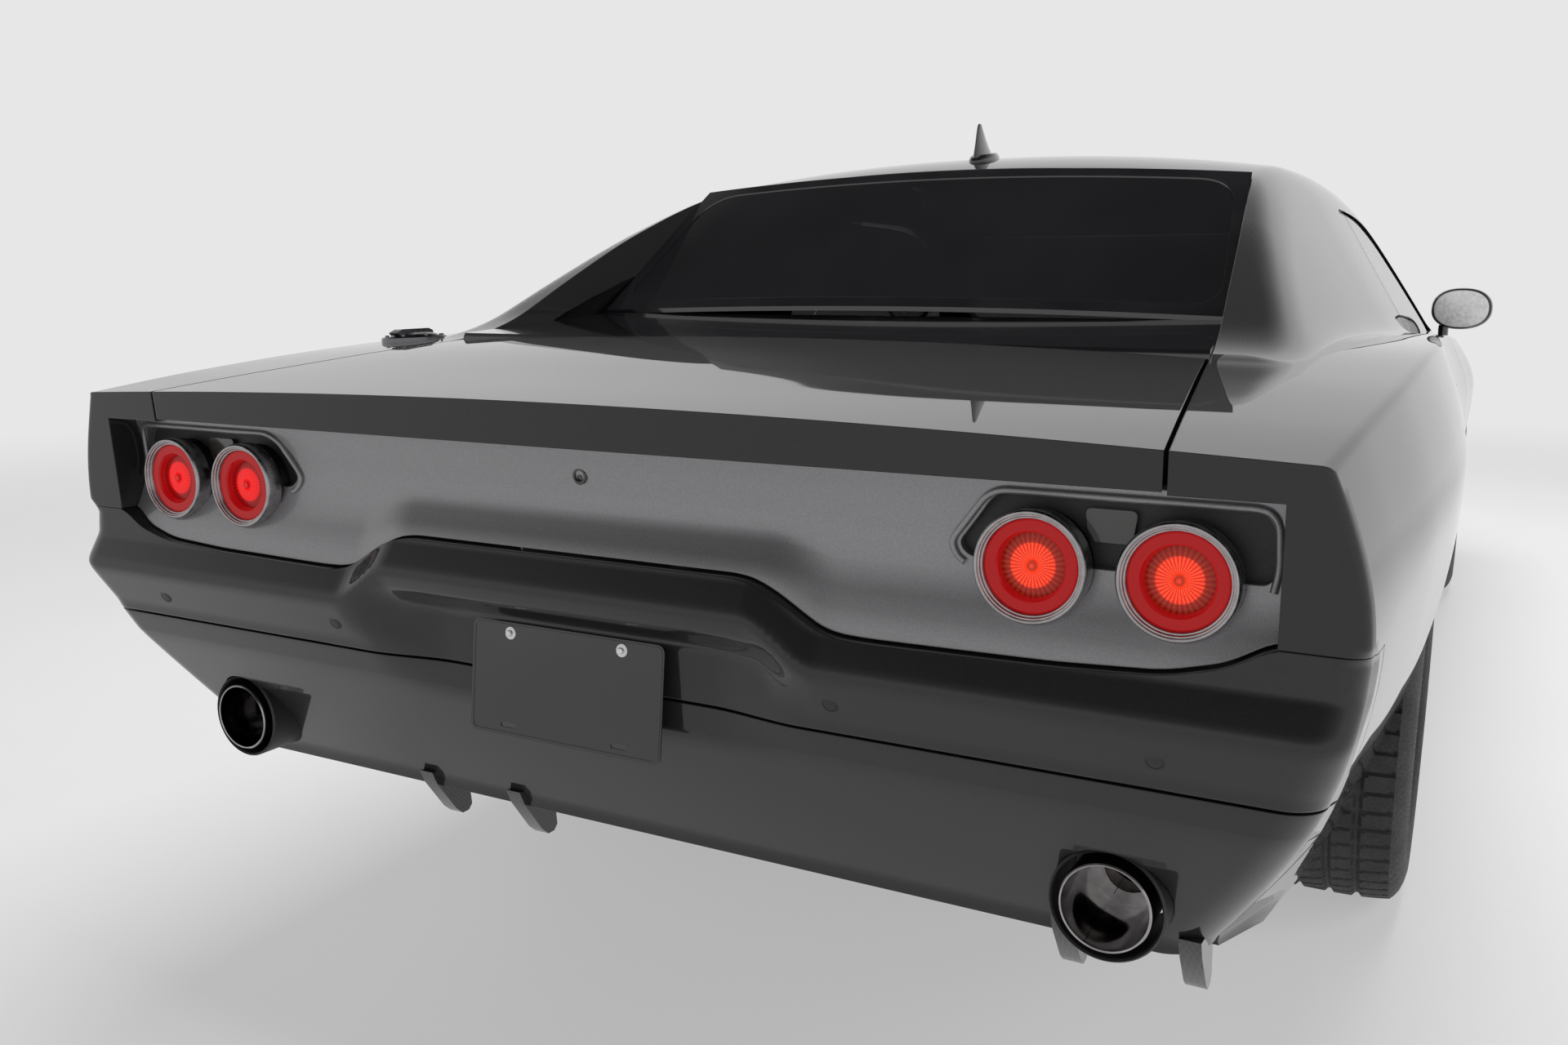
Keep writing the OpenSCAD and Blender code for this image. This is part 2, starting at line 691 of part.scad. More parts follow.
module rear_subframe() {
    w = tyre_w_rear;
    cx = tyre_face - w / 2;
    color("#2a2b2d") translate([0, rear_axle_y, axle_z]) {
        along_x(40, 10 - cx, cx - 10);
        sphere(r = 90);
        block([-460, -70, 60], [460, 70, 449.7 - axle_z]);
        both() {
            along_x(hub_r, cx - 20, cx + w / 2 - 66);
            block([400, -60, -30], [460, 60, 61]);
        }
    }
}
tip_x = 694;
tip_z = 466;
tip_y = 2548;
module exhaust() {
    pipe_r = 28;
    color("#6a6c70") both() {
        difference() {
            translate([tip_x, 0, tip_z]) along_y(tip_d / 2, 2368, tip_y);
            translate([tip_x, 0, tip_z]) along_y(tip_d / 2 - 4, tip_y - 119, far);
        }
        block([600, 2000, 380], [760, 2369, 500]);
        block([560.3, 2150, 450], [601, 2250, 470]);
        translate([640, 0, 410]) along_y(pipe_r, 1760, 2001);
    }
}

// ---- Mirrors, interior and powertrain ----
module mirror_head(s) {
    color("#0c0c0d") side_of(s) {
        translate([931, 0, 1090]) along_y(60, -785, -715);
        difference() {
            block([868, -775, 985], [905, -735, 1085]);
            lower_loft(-850, -650, -0.3, -0.3);
        }
    }
}
seat_x = 378;
module seats() {
    color("#18181a") {
        both() {
            block([seat_x - 240, -360, 228.3], [seat_x + 240, 170, 460]);
            block([seat_x - 240, 170.3, 228.3], [seat_x + 240, 290, 1040]);
        }
        block([-560, 560, 430.3], [560, 900, 500]);
        block([-560, 900.3, 480.3], [560, 990, 990]);
    }
}
module dashboard() { color("#141415") block([-690, firewall_y + 0.3, 700], [690, -660, 950]); }
module steering_wheel() {
    color("#141415") translate([seat_x, -520, 850]) {
        rotate([-65, 0, 0]) {
            difference() {
                cylinder(r = 185, h = 30, center = true);
                cylinder(r = 155, h = 40, center = true);
            }
            block([-160, -14, -8], [160, 14, 8]);
            cylinder(r = 45, h = 40, center = true);
        }
        difference() {
            rotate([-65, 0, 0]) translate([0, 0, -200]) cylinder(r = 25, h = 200);
            block([-100, -300, -200], [100, -139.7, 200]);
        }
    }
}
module powertrain() {
    color("#3c3e40") {
        block([-270, -2140, 320], [270, -1420, 860]);
        block([-90, -1430, 240], [90, -1010, 400]);
        translate([0, 0, 330]) along_y(36, -1020, 1150);
    }
}

floor_pan();
fender(LEFT);  // front_fender_left
fender(RIGHT);  // front_fender_right
quarter(LEFT);  // rear_quarter_left
quarter(RIGHT);  // rear_quarter_right
roof();
hood();
decklid();
deck_filler();
door(LEFT);  // door_left
door(RIGHT);  // door_right
door_glass(LEFT);  // door_glass_left
door_glass(RIGHT);  // door_glass_right
windshield();
rear_window();
quarter_glass();
tail_panel();
tail_lamps();
tail_lenses();
rear_bumper();
rear_valance();
front_bumper();
grille();
tyre(LEFT, front_axle_y, tyre_w_front);  // tyre_front_left
tyre(RIGHT, front_axle_y, tyre_w_front);  // tyre_front_right
tyre(LEFT, rear_axle_y, tyre_w_rear);  // tyre_rear_left
tyre(RIGHT, rear_axle_y, tyre_w_rear);  // tyre_rear_right
rim(LEFT, front_axle_y, tyre_w_front);  // rim_front_left
rim(RIGHT, front_axle_y, tyre_w_front);  // rim_front_right
rim(LEFT, rear_axle_y, tyre_w_rear);  // rim_rear_left
rim(RIGHT, rear_axle_y, tyre_w_rear);  // rim_rear_right
knuckle(LEFT);  // knuckle_left
knuckle(RIGHT);  // knuckle_right
front_subframe();
rear_subframe();
exhaust();
licence_plate();
fuel_cap();
antenna_fin();
mirror_head(LEFT);  // mirror_left
mirror_head(RIGHT);  // mirror_right
seats();
dashboard();
steering_wheel();
powertrain();
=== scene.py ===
import math

import bmesh
import bpy
import numpy as np
from bpy.props import FloatProperty, FloatVectorProperty
from mathutils import Matrix, Vector


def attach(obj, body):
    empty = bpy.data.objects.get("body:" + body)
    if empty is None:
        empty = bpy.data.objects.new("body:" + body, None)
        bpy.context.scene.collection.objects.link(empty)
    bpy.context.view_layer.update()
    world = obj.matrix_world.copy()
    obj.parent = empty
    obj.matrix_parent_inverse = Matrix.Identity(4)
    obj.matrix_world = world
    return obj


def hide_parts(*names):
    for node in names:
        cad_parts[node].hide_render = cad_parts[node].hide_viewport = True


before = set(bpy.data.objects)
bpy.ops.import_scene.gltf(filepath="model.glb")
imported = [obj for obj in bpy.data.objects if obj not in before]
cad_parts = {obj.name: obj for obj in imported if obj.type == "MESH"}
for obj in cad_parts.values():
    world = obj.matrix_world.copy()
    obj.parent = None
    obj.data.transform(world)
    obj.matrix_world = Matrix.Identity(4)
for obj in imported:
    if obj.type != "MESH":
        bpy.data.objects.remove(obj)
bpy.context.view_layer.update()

bl_info = {
    "name": "Fastback muscle car",
    "version": (1, 0, 0),
    "blender": (4, 5, 0),
    "location": "View3D > Sidebar > Car",
    "description": "Builds the looks of a two-door fastback muscle car on its packed frame",
    "category": "Object",
}

# ---- Shape tables, in millimetres, the same as the part's source ----
HALF_L = 2640.0
AXLE_Z = 358.0
REAR_Y = 1250.0
FRONT_Y = -1710.0
FAR = 3000.0
ROOF_H = 1452.0
# y as a share of half the length, crease x and z, widest x and z, lower edge x and z, centre z
SHELL = np.array([
    [-1.000, 850, 868, 880, 700, 720, 330, 880],
    [-0.947, 876, 896, 912, 730, 780, 300, 915],
    [-0.850, 892, 930, 945, 760, 835, 265, 958],
    [-0.648, 902, 966, 976, 790, 872, 235, 1002],
    [-0.450, 898, 990, 968, 790, 886, 215, 1022],
    [-0.200, 890, 1012, 958, 780, 892, 205, 1040],
    [0.050, 893, 1032, 960, 780, 894, 205, 1052],
    [0.250, 912, 1048, 976, 800, 896, 215, 1070],
    [0.474, 940, 1054, 998, 830, 890, 260, 1086],
    [0.650, 942, 1050, 998, 840, 872, 310, 1086],
    [0.800, 932, 1030, 982, 835, 846, 350, 1056],
    [0.920, 914, 1004, 960, 815, 812, 376, 1022],
    [1.000, 899, 980, 944, 800, 786, 388, 1002],
])
# y, half-width at the belt, height of the roof on the centre line
CABIN = np.array([
    [-1060, 800, ROOF_H - 452], [-660, 815, ROOF_H - 234], [-300, 822, ROOF_H - 66],
    [0, 823, ROOF_H - 14], [350, 822, ROOF_H], [700, 815, ROOF_H - 2],
    [1000, 803, ROOF_H - 17], [1250, 792, ROOF_H - 62], [1500, 780, ROOF_H - 150],
    [1700, 770, ROOF_H - 243], [1900, 758, ROOF_H - 345], [2060, 750, ROOF_H - 420],
])
CREASE_X, CREASE_Z, WIDE_X, WIDE_Z, LOW_X, LOW_Z, TOP_Z = range(1, 8)
BELT_Z = 1078.0
CROWN = 46.0
LEAN = math.tan(math.radians(30.4))
# Rear face of the car, height and distance back
TAIL_FACE = np.array([
    [0, 2440], [392, 2455], [596, 2588], [632, 2603], [650, 2608], [704, 2637], [714, 2640],
    [722, 2637], [757, 2612], [799, 2606], [944, 2616], [1010, 2622], [1700, 2616],
])
NOSE_FACE = np.array([
    [0, -2440], [260, -2500], [450, -2600], [530, -2638], [545, -2638], [619, -2618],
    [700, -2606], [880, -2598], [1300, -2590],
])
DECK_SIDE = [[560, 900], [597, 1252], [637, 1604], [677, 2013]]
DOOR_F, DOOR_R = -950.0, 280.0
GAP = 5.0
HOOD_HALF = 706.0
SILL_Z = 290.0


def hermite(table, y, c):
    """Smooth value of a column at y."""
    i = int(np.clip(np.searchsorted(table[:, 0], y, side="left") - 1, 0, len(table) - 2))

    def slope(k):
        a, b = max(k - 1, 0), min(k + 1, len(table) - 1)
        return (table[b, c] - table[a, c]) / (table[b, 0] - table[a, 0])

    h = table[i + 1, 0] - table[i, 0]
    s = (y - table[i, 0]) / h
    return (table[i, c] * (1 + 2 * s) * (1 - s) ** 2 + table[i + 1, c] * s * s * (3 - 2 * s)
            + h * s * (1 - s) * (slope(i) * (1 - s) - slope(i + 1) * s))


def shell(y, c):
    return hermite(SHELL, y / HALF_L, c)


def smoothstep(a, b, x):
    t = np.clip((np.asarray(x, float) - a) / (b - a), 0, 1)
    return t * t * (3 - 2 * t)


def soft_min(a, b, k):
    h = np.maximum(k - np.abs(a - b), 0) / k
    return np.minimum(a, b) - h * h * k / 4


def soft_max(a, b, k):
    return -soft_min(-a, -b, k)


def side_half(y, side, top, n=16):
    """Half section from the lower edge up to the shoulder crease."""
    cx, cz = shell(y, CREASE_X) - side, shell(y, CREASE_Z) - top
    wx, wz = shell(y, WIDE_X) - side, shell(y, WIDE_Z)
    lx, lz = shell(y, LOW_X) - side, shell(y, LOW_Z)
    pts = [[lx + (wx - lx) * math.sin(math.pi / 2 * i / n), lz + (wz - lz) * i / n] for i in range(n)]
    pts += [[wx - (wx - cx) * (1 - math.cos(math.pi / 2 * i / n)), wz + (cz - wz) * i / n]
            for i in range(n + 1)]
    return np.array(pts)


def lower_top(y, x, top):
    cx, cz = shell(y, CREASE_X), shell(y, CREASE_Z) - top
    tz = shell(y, TOP_Z) - top
    return tz - (tz - cz) * (x / cx) ** 2


def cabin_top(y, x, side, top):
    zc, x0 = hermite(CABIN, y, 2) - top, hermite(CABIN, y, 1) - side
    xr = x0 - (zc - CROWN - BELT_Z) * LEAN
    roof = zc - CROWN * (x / max(xr, 100)) ** 2.2
    flank = BELT_Z + (x0 - x) / LEAN
    return soft_min(roof, flank, 60.0)


def section(y, side=0.0, top=0.0, blend=False, n_top=40):
    """Whole ring of points (x, z) at y. With blend, the greenhouse rises from the body."""
    sd = side_half(y, side, top)
    cx = sd[-1, 0]
    dense = np.linspace(0, cx, 1200)
    z = lower_top(y, dense, top)
    if blend and CABIN[0, 0] <= y <= CABIN[-1, 0]:
        z = soft_max(z, cabin_top(y, dense, side, top), 42.0)
    d = np.hypot(np.diff(dense), np.diff(z))
    ang = np.unwrap(np.arctan2(np.diff(z), np.diff(dense)))
    weight = d + 60 * np.abs(np.gradient(ang)) * 1.0
    s = np.concatenate([[0], np.cumsum(weight)])
    at = np.interp(np.linspace(0, s[-1], n_top + 1), s, dense)
    zt = np.interp(at, dense, z)
    upper = np.column_stack([at, zt])[::-1]
    # a small rounding on the crease
    a, b, c = sd[-2], sd[-1], upper[1]
    r = 9.0
    pa = b + (a - b) / max(np.hypot(*(a - b)), 1e-6) * r
    pc = b + (c - b) / max(np.hypot(*(c - b)), 1e-6) * r
    arc = [pa * (1 - t) ** 2 + b * 2 * t * (1 - t) + pc * t * t for t in (0, 0.25, 0.5, 0.75, 1)]
    half = np.vstack([[[0, sd[0, 1]]], sd[:-1], arc, upper[1:]])
    left = half
    right = half[1:-1][::-1] * [-1, 1]
    return np.vstack([left, right])


# ---- Mesh building, in millimetres ----
def to_object(name, verts, faces):
    mesh = bpy.data.meshes.new(name)
    mesh.from_pydata([tuple(v) for v in np.asarray(verts, float) * 0.001], [], [tuple(f) for f in faces])
    bm = bmesh.new()
    bm.from_mesh(mesh)
    bmesh.ops.recalc_face_normals(bm, faces=bm.faces)
    bm.to_mesh(mesh)
    bm.free()
    obj = bpy.data.objects.new(name, mesh)
    bpy.context.scene.collection.objects.link(obj)
    return obj


def loft(name, rings):
    """Closed solid through equal rings of 3-D points."""
    rings = np.asarray(rings, float)
    n, m = rings.shape[:2]
    faces = [(i * m + j, i * m + (j + 1) % m, (i + 1) * m + (j + 1) % m, (i + 1) * m + j)
             for i in range(n - 1) for j in range(m)]
    faces.append(tuple(range(m)))
    faces.append(tuple((n - 1) * m + j for j in range(m))[::-1])
    return to_object(name, rings.reshape(-1, 3), faces)


def body_loft(name, y0, y1, side=0.0, top=0.0, blend=False, step=22.0, n_top=40):
    rings = []
    for y in np.linspace(y0, y1, int(math.ceil((y1 - y0) / step)) + 1):
        s = section(min(max(y, -HALF_L), HALF_L), side, top, blend, n_top)
        rings.append(np.column_stack([s[:, 0], np.full(len(s), y), s[:, 1]]))
    return loft(name, rings)


def block(a, b):
    (x0, y0, z0), (x1, y1, z1) = a, b
    ring = [[x0, y0], [x1, y0], [x1, y1], [x0, y1]]
    return upward(ring, z0, z1)


def prism(points, to3, lo, hi):
    n = len(points)
    verts = [to3(p, lo) for p in points] + [to3(p, hi) for p in points]
    faces = [(i, (i + 1) % n, n + (i + 1) % n, n + i) for i in range(n)]
    faces += [tuple(range(n)), tuple(range(n, 2 * n))[::-1]]
    return to_object("cut", verts, faces)


def upward(points, z0, z1):
    return prism(points, lambda p, h: [p[0], p[1], h], z0, z1)


def across(points, x0, x1):
    return prism(points, lambda p, h: [h, p[0], p[1]], x0, x1)


def through(points, y0, y1):
    return prism(points, lambda p, h: [p[0], h, p[1]], y0, y1)


def ring_points(cx, cy, r, n=64):
    return [[cx + r * math.cos(2 * math.pi * i / n), cy + r * math.sin(2 * math.pi * i / n)]
            for i in range(n)]


def rounded(points, radii, n=6):
    """Polygon with its corners rounded."""
    out = []
    k = len(points)
    for i, p in enumerate(points):
        r = radii[i] if hasattr(radii, "__len__") else radii
        p = np.array(p, float)
        a, b = np.array(points[i - 1], float), np.array(points[(i + 1) % k], float)
        da, db = np.hypot(*(a - p)), np.hypot(*(b - p))
        if r <= 0:
            out.append(p)
            continue
        pa, pb = p + (a - p) / da * min(r, da / 2.1), p + (b - p) / db * min(r, db / 2.1)
        out += [pa * (1 - t) ** 2 + p * 2 * t * (1 - t) + pb * t * t for t in np.linspace(0, 1, n)]
    return [list(q) for q in out]


def combine(obj, others, operation="DIFFERENCE"):
    """Boolean of obj with each of the others, which are used up."""
    for o in others:
        mod = obj.modifiers.new("cut", "BOOLEAN")
        mod.operation = operation
        mod.object = o
        mod.solver = "MANIFOLD"
    graph = bpy.context.evaluated_depsgraph_get()
    mesh = bpy.data.meshes.new_from_object(obj.evaluated_get(graph))
    obj.modifiers.clear()
    old = obj.data
    obj.data = mesh
    bpy.data.meshes.remove(old)
    for o in others:
        m = o.data
        bpy.data.objects.remove(o)
        bpy.data.meshes.remove(m)
    if len(obj.data.polygons) == 0:
        raise RuntimeError("the boolean left nothing of " + obj.name)
    return obj


def cut(obj, *others):
    return combine(obj, others, "DIFFERENCE")


def keep(obj, *others):
    return combine(obj, others, "INTERSECT")


def join_solid(obj, *others):
    return combine(obj, others, "UNION")


def merge(name, objs):
    """One object from several that don't touch."""
    verts, faces, base = [], [], 0
    mats, index = [], []
    for o in objs:
        m = o.data
        verts += [v.co.copy() for v in m.vertices]
        slots = []
        for mat in m.materials:
            if mat not in mats:
                mats.append(mat)
            slots.append(mats.index(mat))
        for p in m.polygons:
            faces.append(tuple(base + v for v in p.vertices))
            index.append(slots[p.material_index] if slots else 0)
        base += len(m.vertices)
    mesh = bpy.data.meshes.new(name)
    mesh.from_pydata(verts, [], faces)
    for mat in mats:
        mesh.materials.append(mat)
    mesh.polygons.foreach_set("material_index", index)
    for o in objs:
        bpy.data.objects.remove(o)
    obj = bpy.data.objects.new(name, mesh)
    bpy.context.scene.collection.objects.link(obj)
    return obj


def mirrored(obj, name):
    mesh = obj.data.copy()
    mesh.transform(Matrix.Scale(-1, 4, (1, 0, 0)))
    mesh.flip_normals()
    other = bpy.data.objects.new(name, mesh)
    bpy.context.scene.collection.objects.link(other)
    return other


def lathe(name, profile, centre, axis="Y", n=96, flip=1.0):
    """Closed solid of revolution. profile holds (distance along the axis, radius)."""
    profile = np.asarray(profile, float)
    m = len(profile)
    verts, faces = [], []
    for i in range(n):
        a = 2 * math.pi * i / n
        for d, r in profile:
            u, v = r * math.cos(a), r * math.sin(a)
            verts.append({"Y": [u, d * flip, v], "X": [d * flip, u, v], "Z": [u, v, d * flip]}[axis])
    for i in range(n):
        for j in range(m):
            faces.append((i * m + j, i * m + (j + 1) % m, ((i + 1) % n) * m + (j + 1) % m,
                          ((i + 1) % n) * m + j))
    return to_object(name, np.array(verts) + np.asarray(centre, float), faces)


def finish(obj, name, material, body, replaces=(), angle=28.0, weld=True):
    """Names, shades and dresses a piece, and puts it on its body."""
    obj.name = name
    mesh = obj.data
    if weld:
        bm = bmesh.new()
        bm.from_mesh(mesh)
        bmesh.ops.remove_doubles(bm, verts=bm.verts, dist=0.00002)
        bmesh.ops.dissolve_degenerate(bm, edges=bm.edges, dist=0.00001)
        bm.to_mesh(mesh)
        bm.free()
    mesh.shade_smooth()
    mesh.set_sharp_from_angle(angle=math.radians(angle))
    if material is not None:
        mesh.materials.clear()
        mesh.materials.append(material)
    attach(obj, body)
    if replaces:
        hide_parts(*replaces)
    return obj


# ---- Materials: node-built, no images ----
class Nodes:
    """A short way to write a node tree."""

    def __init__(self, name):
        self.mat = bpy.data.materials.new(name)
        self.mat.use_nodes = True
        self.tree = self.mat.node_tree
        self.bsdf = self.tree.nodes["Principled BSDF"]
        self.coords = self.tree.nodes.new("ShaderNodeTexCoord")

    def add(self, kind, **settings):
        node = self.tree.nodes.new(kind)
        for key, value in settings.items():
            setattr(node, key, value)
        return node

    def link(self, a, b):
        self.tree.links.new(a, b)

    def set(self, **values):
        for key, value in values.items():
            self.bsdf.inputs[key.replace("_", " ")].default_value = value
        return self

    def mapped(self, scale):
        node = self.add("ShaderNodeMapping")
        node.inputs["Scale"].default_value = scale if hasattr(scale, "__len__") else (scale,) * 3
        self.link(self.coords.outputs["Object"], node.inputs["Vector"])
        return node.outputs["Vector"]

    def noise(self, scale, detail=3.0, stretch=(1, 1, 1)):
        node = self.add("ShaderNodeTexNoise")
        node.inputs["Scale"].default_value = scale
        node.inputs["Detail"].default_value = detail
        self.link(self.mapped(stretch), node.inputs["Vector"])
        return node.outputs["Fac"]

    def ramp(self, fac, low, high, a=0.35, b=0.65):
        node = self.add("ShaderNodeValToRGB")
        e = node.color_ramp.elements
        e[0].position, e[1].position = a, b
        e[0].color = low if hasattr(low, "__len__") else (low, low, low, 1)
        e[1].color = high if hasattr(high, "__len__") else (high, high, high, 1)
        self.link(fac, node.inputs["Fac"])
        return node.outputs["Color"]

    def bump(self, height, strength, distance=0.001, round_edges=0.0):
        node = self.add("ShaderNodeBump")
        node.inputs["Strength"].default_value = strength
        node.inputs["Distance"].default_value = distance
        self.link(height, node.inputs["Height"])
        if round_edges:
            self.link(self.rounded(round_edges), node.inputs["Normal"])
        self.link(node.outputs["Normal"], self.bsdf.inputs["Normal"])
        return node

    def rounded(self, radius):
        node = self.add("ShaderNodeBevel", samples=4)
        node.inputs["Radius"].default_value = radius
        return node.outputs["Normal"]


def paint(name, colour, metal, rough, flake, edge=0.0022):
    n = Nodes(name)
    c = (*colour, 1)
    lighter = tuple(min(v * 1.35 + 0.002, 1) for v in colour) + (1,)
    n.link(n.ramp(n.noise(1400.0, 1.0), c, lighter, 0.42, 0.6), n.bsdf.inputs["Base Color"])
    n.set(Metallic=metal, Roughness=rough, Coat_Weight=1.0, Coat_Roughness=0.012, Coat_IOR=1.43,
          Specular_IOR_Level=0.06)
    n.bump(n.noise(1400.0, 1.0), flake, 0.0002, edge)
    n.link(n.rounded(edge), n.bsdf.inputs["Coat Normal"])
    return n.mat


def metal(name, colour, rough, brush, stretch, edge=0.0006):
    n = Nodes(name)
    c = (*colour, 1)
    grain = n.noise(90.0, 6.0, stretch)
    n.link(n.ramp(grain, c, tuple(min(v * 1.3, 1) for v in colour) + (1,)), n.bsdf.inputs["Base Color"])
    n.link(n.ramp(grain, rough * 0.75, rough * 1.3), n.bsdf.inputs["Roughness"])
    n.set(Metallic=1.0)
    n.bump(grain, brush, 0.0003, edge)
    return n.mat


def plastic(name, colour, rough, grain=0.15, scale=900.0, edge=0.0008, coat=0.0):
    n = Nodes(name)
    c = (*colour, 1)
    fine = n.noise(scale, 2.0)
    n.link(n.ramp(n.noise(7.0), c, tuple(min(v * 1.3 + 0.002, 1) for v in colour) + (1,)),
           n.bsdf.inputs["Base Color"])
    n.link(n.ramp(fine, rough * 0.85, min(rough * 1.15, 1)), n.bsdf.inputs["Roughness"])
    n.set(Coat_Weight=coat, Coat_Roughness=0.02)
    n.bump(fine, grain, 0.0003, edge)
    return n.mat


def glass(name, colour, alpha):
    n = Nodes(name)
    haze = n.noise(3.0, 2.0)
    n.link(n.ramp(haze, (*colour, 1), tuple(v * 1.4 for v in colour) + (1,)), n.bsdf.inputs["Base Color"])
    n.link(n.ramp(haze, 0.008, 0.02), n.bsdf.inputs["Roughness"])
    n.set(Alpha=alpha, Coat_Weight=0.6, Coat_Roughness=0.0)
    return n.mat


def rubber(name):
    n = Nodes(name)
    fine = n.noise(260.0, 6.0)
    n.link(n.ramp(n.noise(12.0, 4.0), (0.012, 0.012, 0.0125, 1), (0.03, 0.029, 0.028, 1)),
           n.bsdf.inputs["Base Color"])
    n.link(n.ramp(fine, 0.5, 0.78), n.bsdf.inputs["Roughness"])
    n.bump(fine, 0.25, 0.0006, 0.0008)
    return n.mat


def leather(name):
    n = Nodes(name)
    cells = n.add("ShaderNodeTexVoronoi", feature="DISTANCE_TO_EDGE")
    cells.inputs["Scale"].default_value = 380.0
    n.link(n.mapped(1.0), cells.inputs["Vector"])
    n.link(n.ramp(n.noise(9.0, 4.0), (0.012, 0.012, 0.013, 1), (0.03, 0.029, 0.03, 1)),
           n.bsdf.inputs["Base Color"])
    n.link(n.ramp(cells.outputs["Distance"], 0.62, 0.38, 0.0, 0.2), n.bsdf.inputs["Roughness"])
    n.bump(cells.outputs["Distance"], 0.35, 0.0008)
    return n.mat


def carbon(name):
    n = Nodes(name)
    checker = n.add("ShaderNodeTexChecker")
    checker.inputs["Scale"].default_value = 260.0
    checker.inputs["Color1"].default_value = (0.012, 0.012, 0.013, 1)
    checker.inputs["Color2"].default_value = (0.04, 0.04, 0.042, 1)
    n.link(n.mapped((1, 1, 1)), checker.inputs["Vector"])
    n.link(checker.outputs["Color"], n.bsdf.inputs["Base Color"])
    n.set(Roughness=0.28, Coat_Weight=0.8, Coat_Roughness=0.04)
    n.bump(checker.outputs["Fac"], 0.2, 0.0003, 0.0008)
    return n.mat


def lamp_glow(name, inner, rim, strength, spokes):
    """Lit lens: brightest at the hub, with fine ribs running out from it."""
    n = Nodes(name)
    uv = n.add("ShaderNodeUVMap", uv_map="disc")
    sep = n.add("ShaderNodeSeparateXYZ")
    n.link(uv.outputs["UV"], sep.inputs["Vector"])
    wave = n.add("ShaderNodeMath", operation="MULTIPLY")
    wave.inputs[1].default_value = spokes
    n.link(sep.outputs["X"], wave.inputs[0])
    sine = n.add("ShaderNodeMath", operation="SINE")
    n.link(wave.outputs[0], sine.inputs[0])
    speck = n.add("ShaderNodeTexNoise")
    speck.inputs["Scale"].default_value = 26.0
    speck.inputs["Detail"].default_value = 5.0
    n.link(uv.outputs["UV"], speck.inputs["Vector"])
    amount = n.add("ShaderNodeMath", operation="MULTIPLY_ADD")
    amount.inputs[1].default_value = 0.16
    n.link(sine.outputs[0], amount.inputs[0])
    n.link(speck.outputs["Fac"], amount.inputs[2])
    flare = n.ramp(amount.outputs[0], (*rim, 1), (*inner, 1), 0.36, 0.74)
    fade = n.add("ShaderNodeValToRGB")
    stops = fade.color_ramp.elements
    stops[0].position, stops[0].color = 0.0, (1, 1, 1, 1)
    stops[1].position, stops[1].color = 1.0, (0.12, 0.12, 0.12, 1)
    for at, v in ((0.12, 0.35), (0.2, 0.95), (0.66, 0.85), (0.72, 0.25)):
        stop = stops.new(at)
        stop.color = (v, v, v, 1)
    n.link(sep.outputs["Y"], fade.inputs["Fac"])
    mul = n.add("ShaderNodeMix", data_type="RGBA", blend_type="MULTIPLY")
    mul.inputs["Factor"].default_value = 1.0
    n.link(flare, mul.inputs["A"])
    n.link(fade.outputs["Color"], mul.inputs["B"])
    n.link(mul.outputs["Result"], n.bsdf.inputs["Emission Color"])
    n.set(Base_Color=(0.12, 0.001, 0.001, 1), Roughness=0.3, Coat_Weight=0.25, Emission_Strength=strength,
          Specular_IOR_Level=0.2)
    n.bump(sine.outputs[0], 0.2, 0.0005)
    return n.mat


def grooved(name, colour, pitch, axis):
    """Dark metal or plastic with turned grooves along an axis, its colour darker in the groove troughs as painted
    shade.
    """
    n = Nodes(name)
    sep = n.add("ShaderNodeSeparateXYZ")
    n.link(n.coords.outputs["Object"], sep.inputs["Vector"])
    mul = n.add("ShaderNodeMath", operation="MULTIPLY")
    mul.inputs[1].default_value = 2 * math.pi / pitch
    n.link(sep.outputs[axis], mul.inputs[0])
    sine = n.add("ShaderNodeMath", operation="SINE")
    n.link(mul.outputs[0], sine.inputs[0])
    # painted shade: the base colour falls to 0.4 of itself where the grooves sink, following the bump's sine
    n.link(n.ramp(sine.outputs[0], (*[v * 0.4 for v in colour], 1), (*colour, 1), 0.0, 1.0),
           n.bsdf.inputs["Base Color"])
    n.set(Metallic=0.8, Roughness=0.32)
    n.bump(sine.outputs[0], 0.6, 0.0008)
    return n.mat


MATS = {}


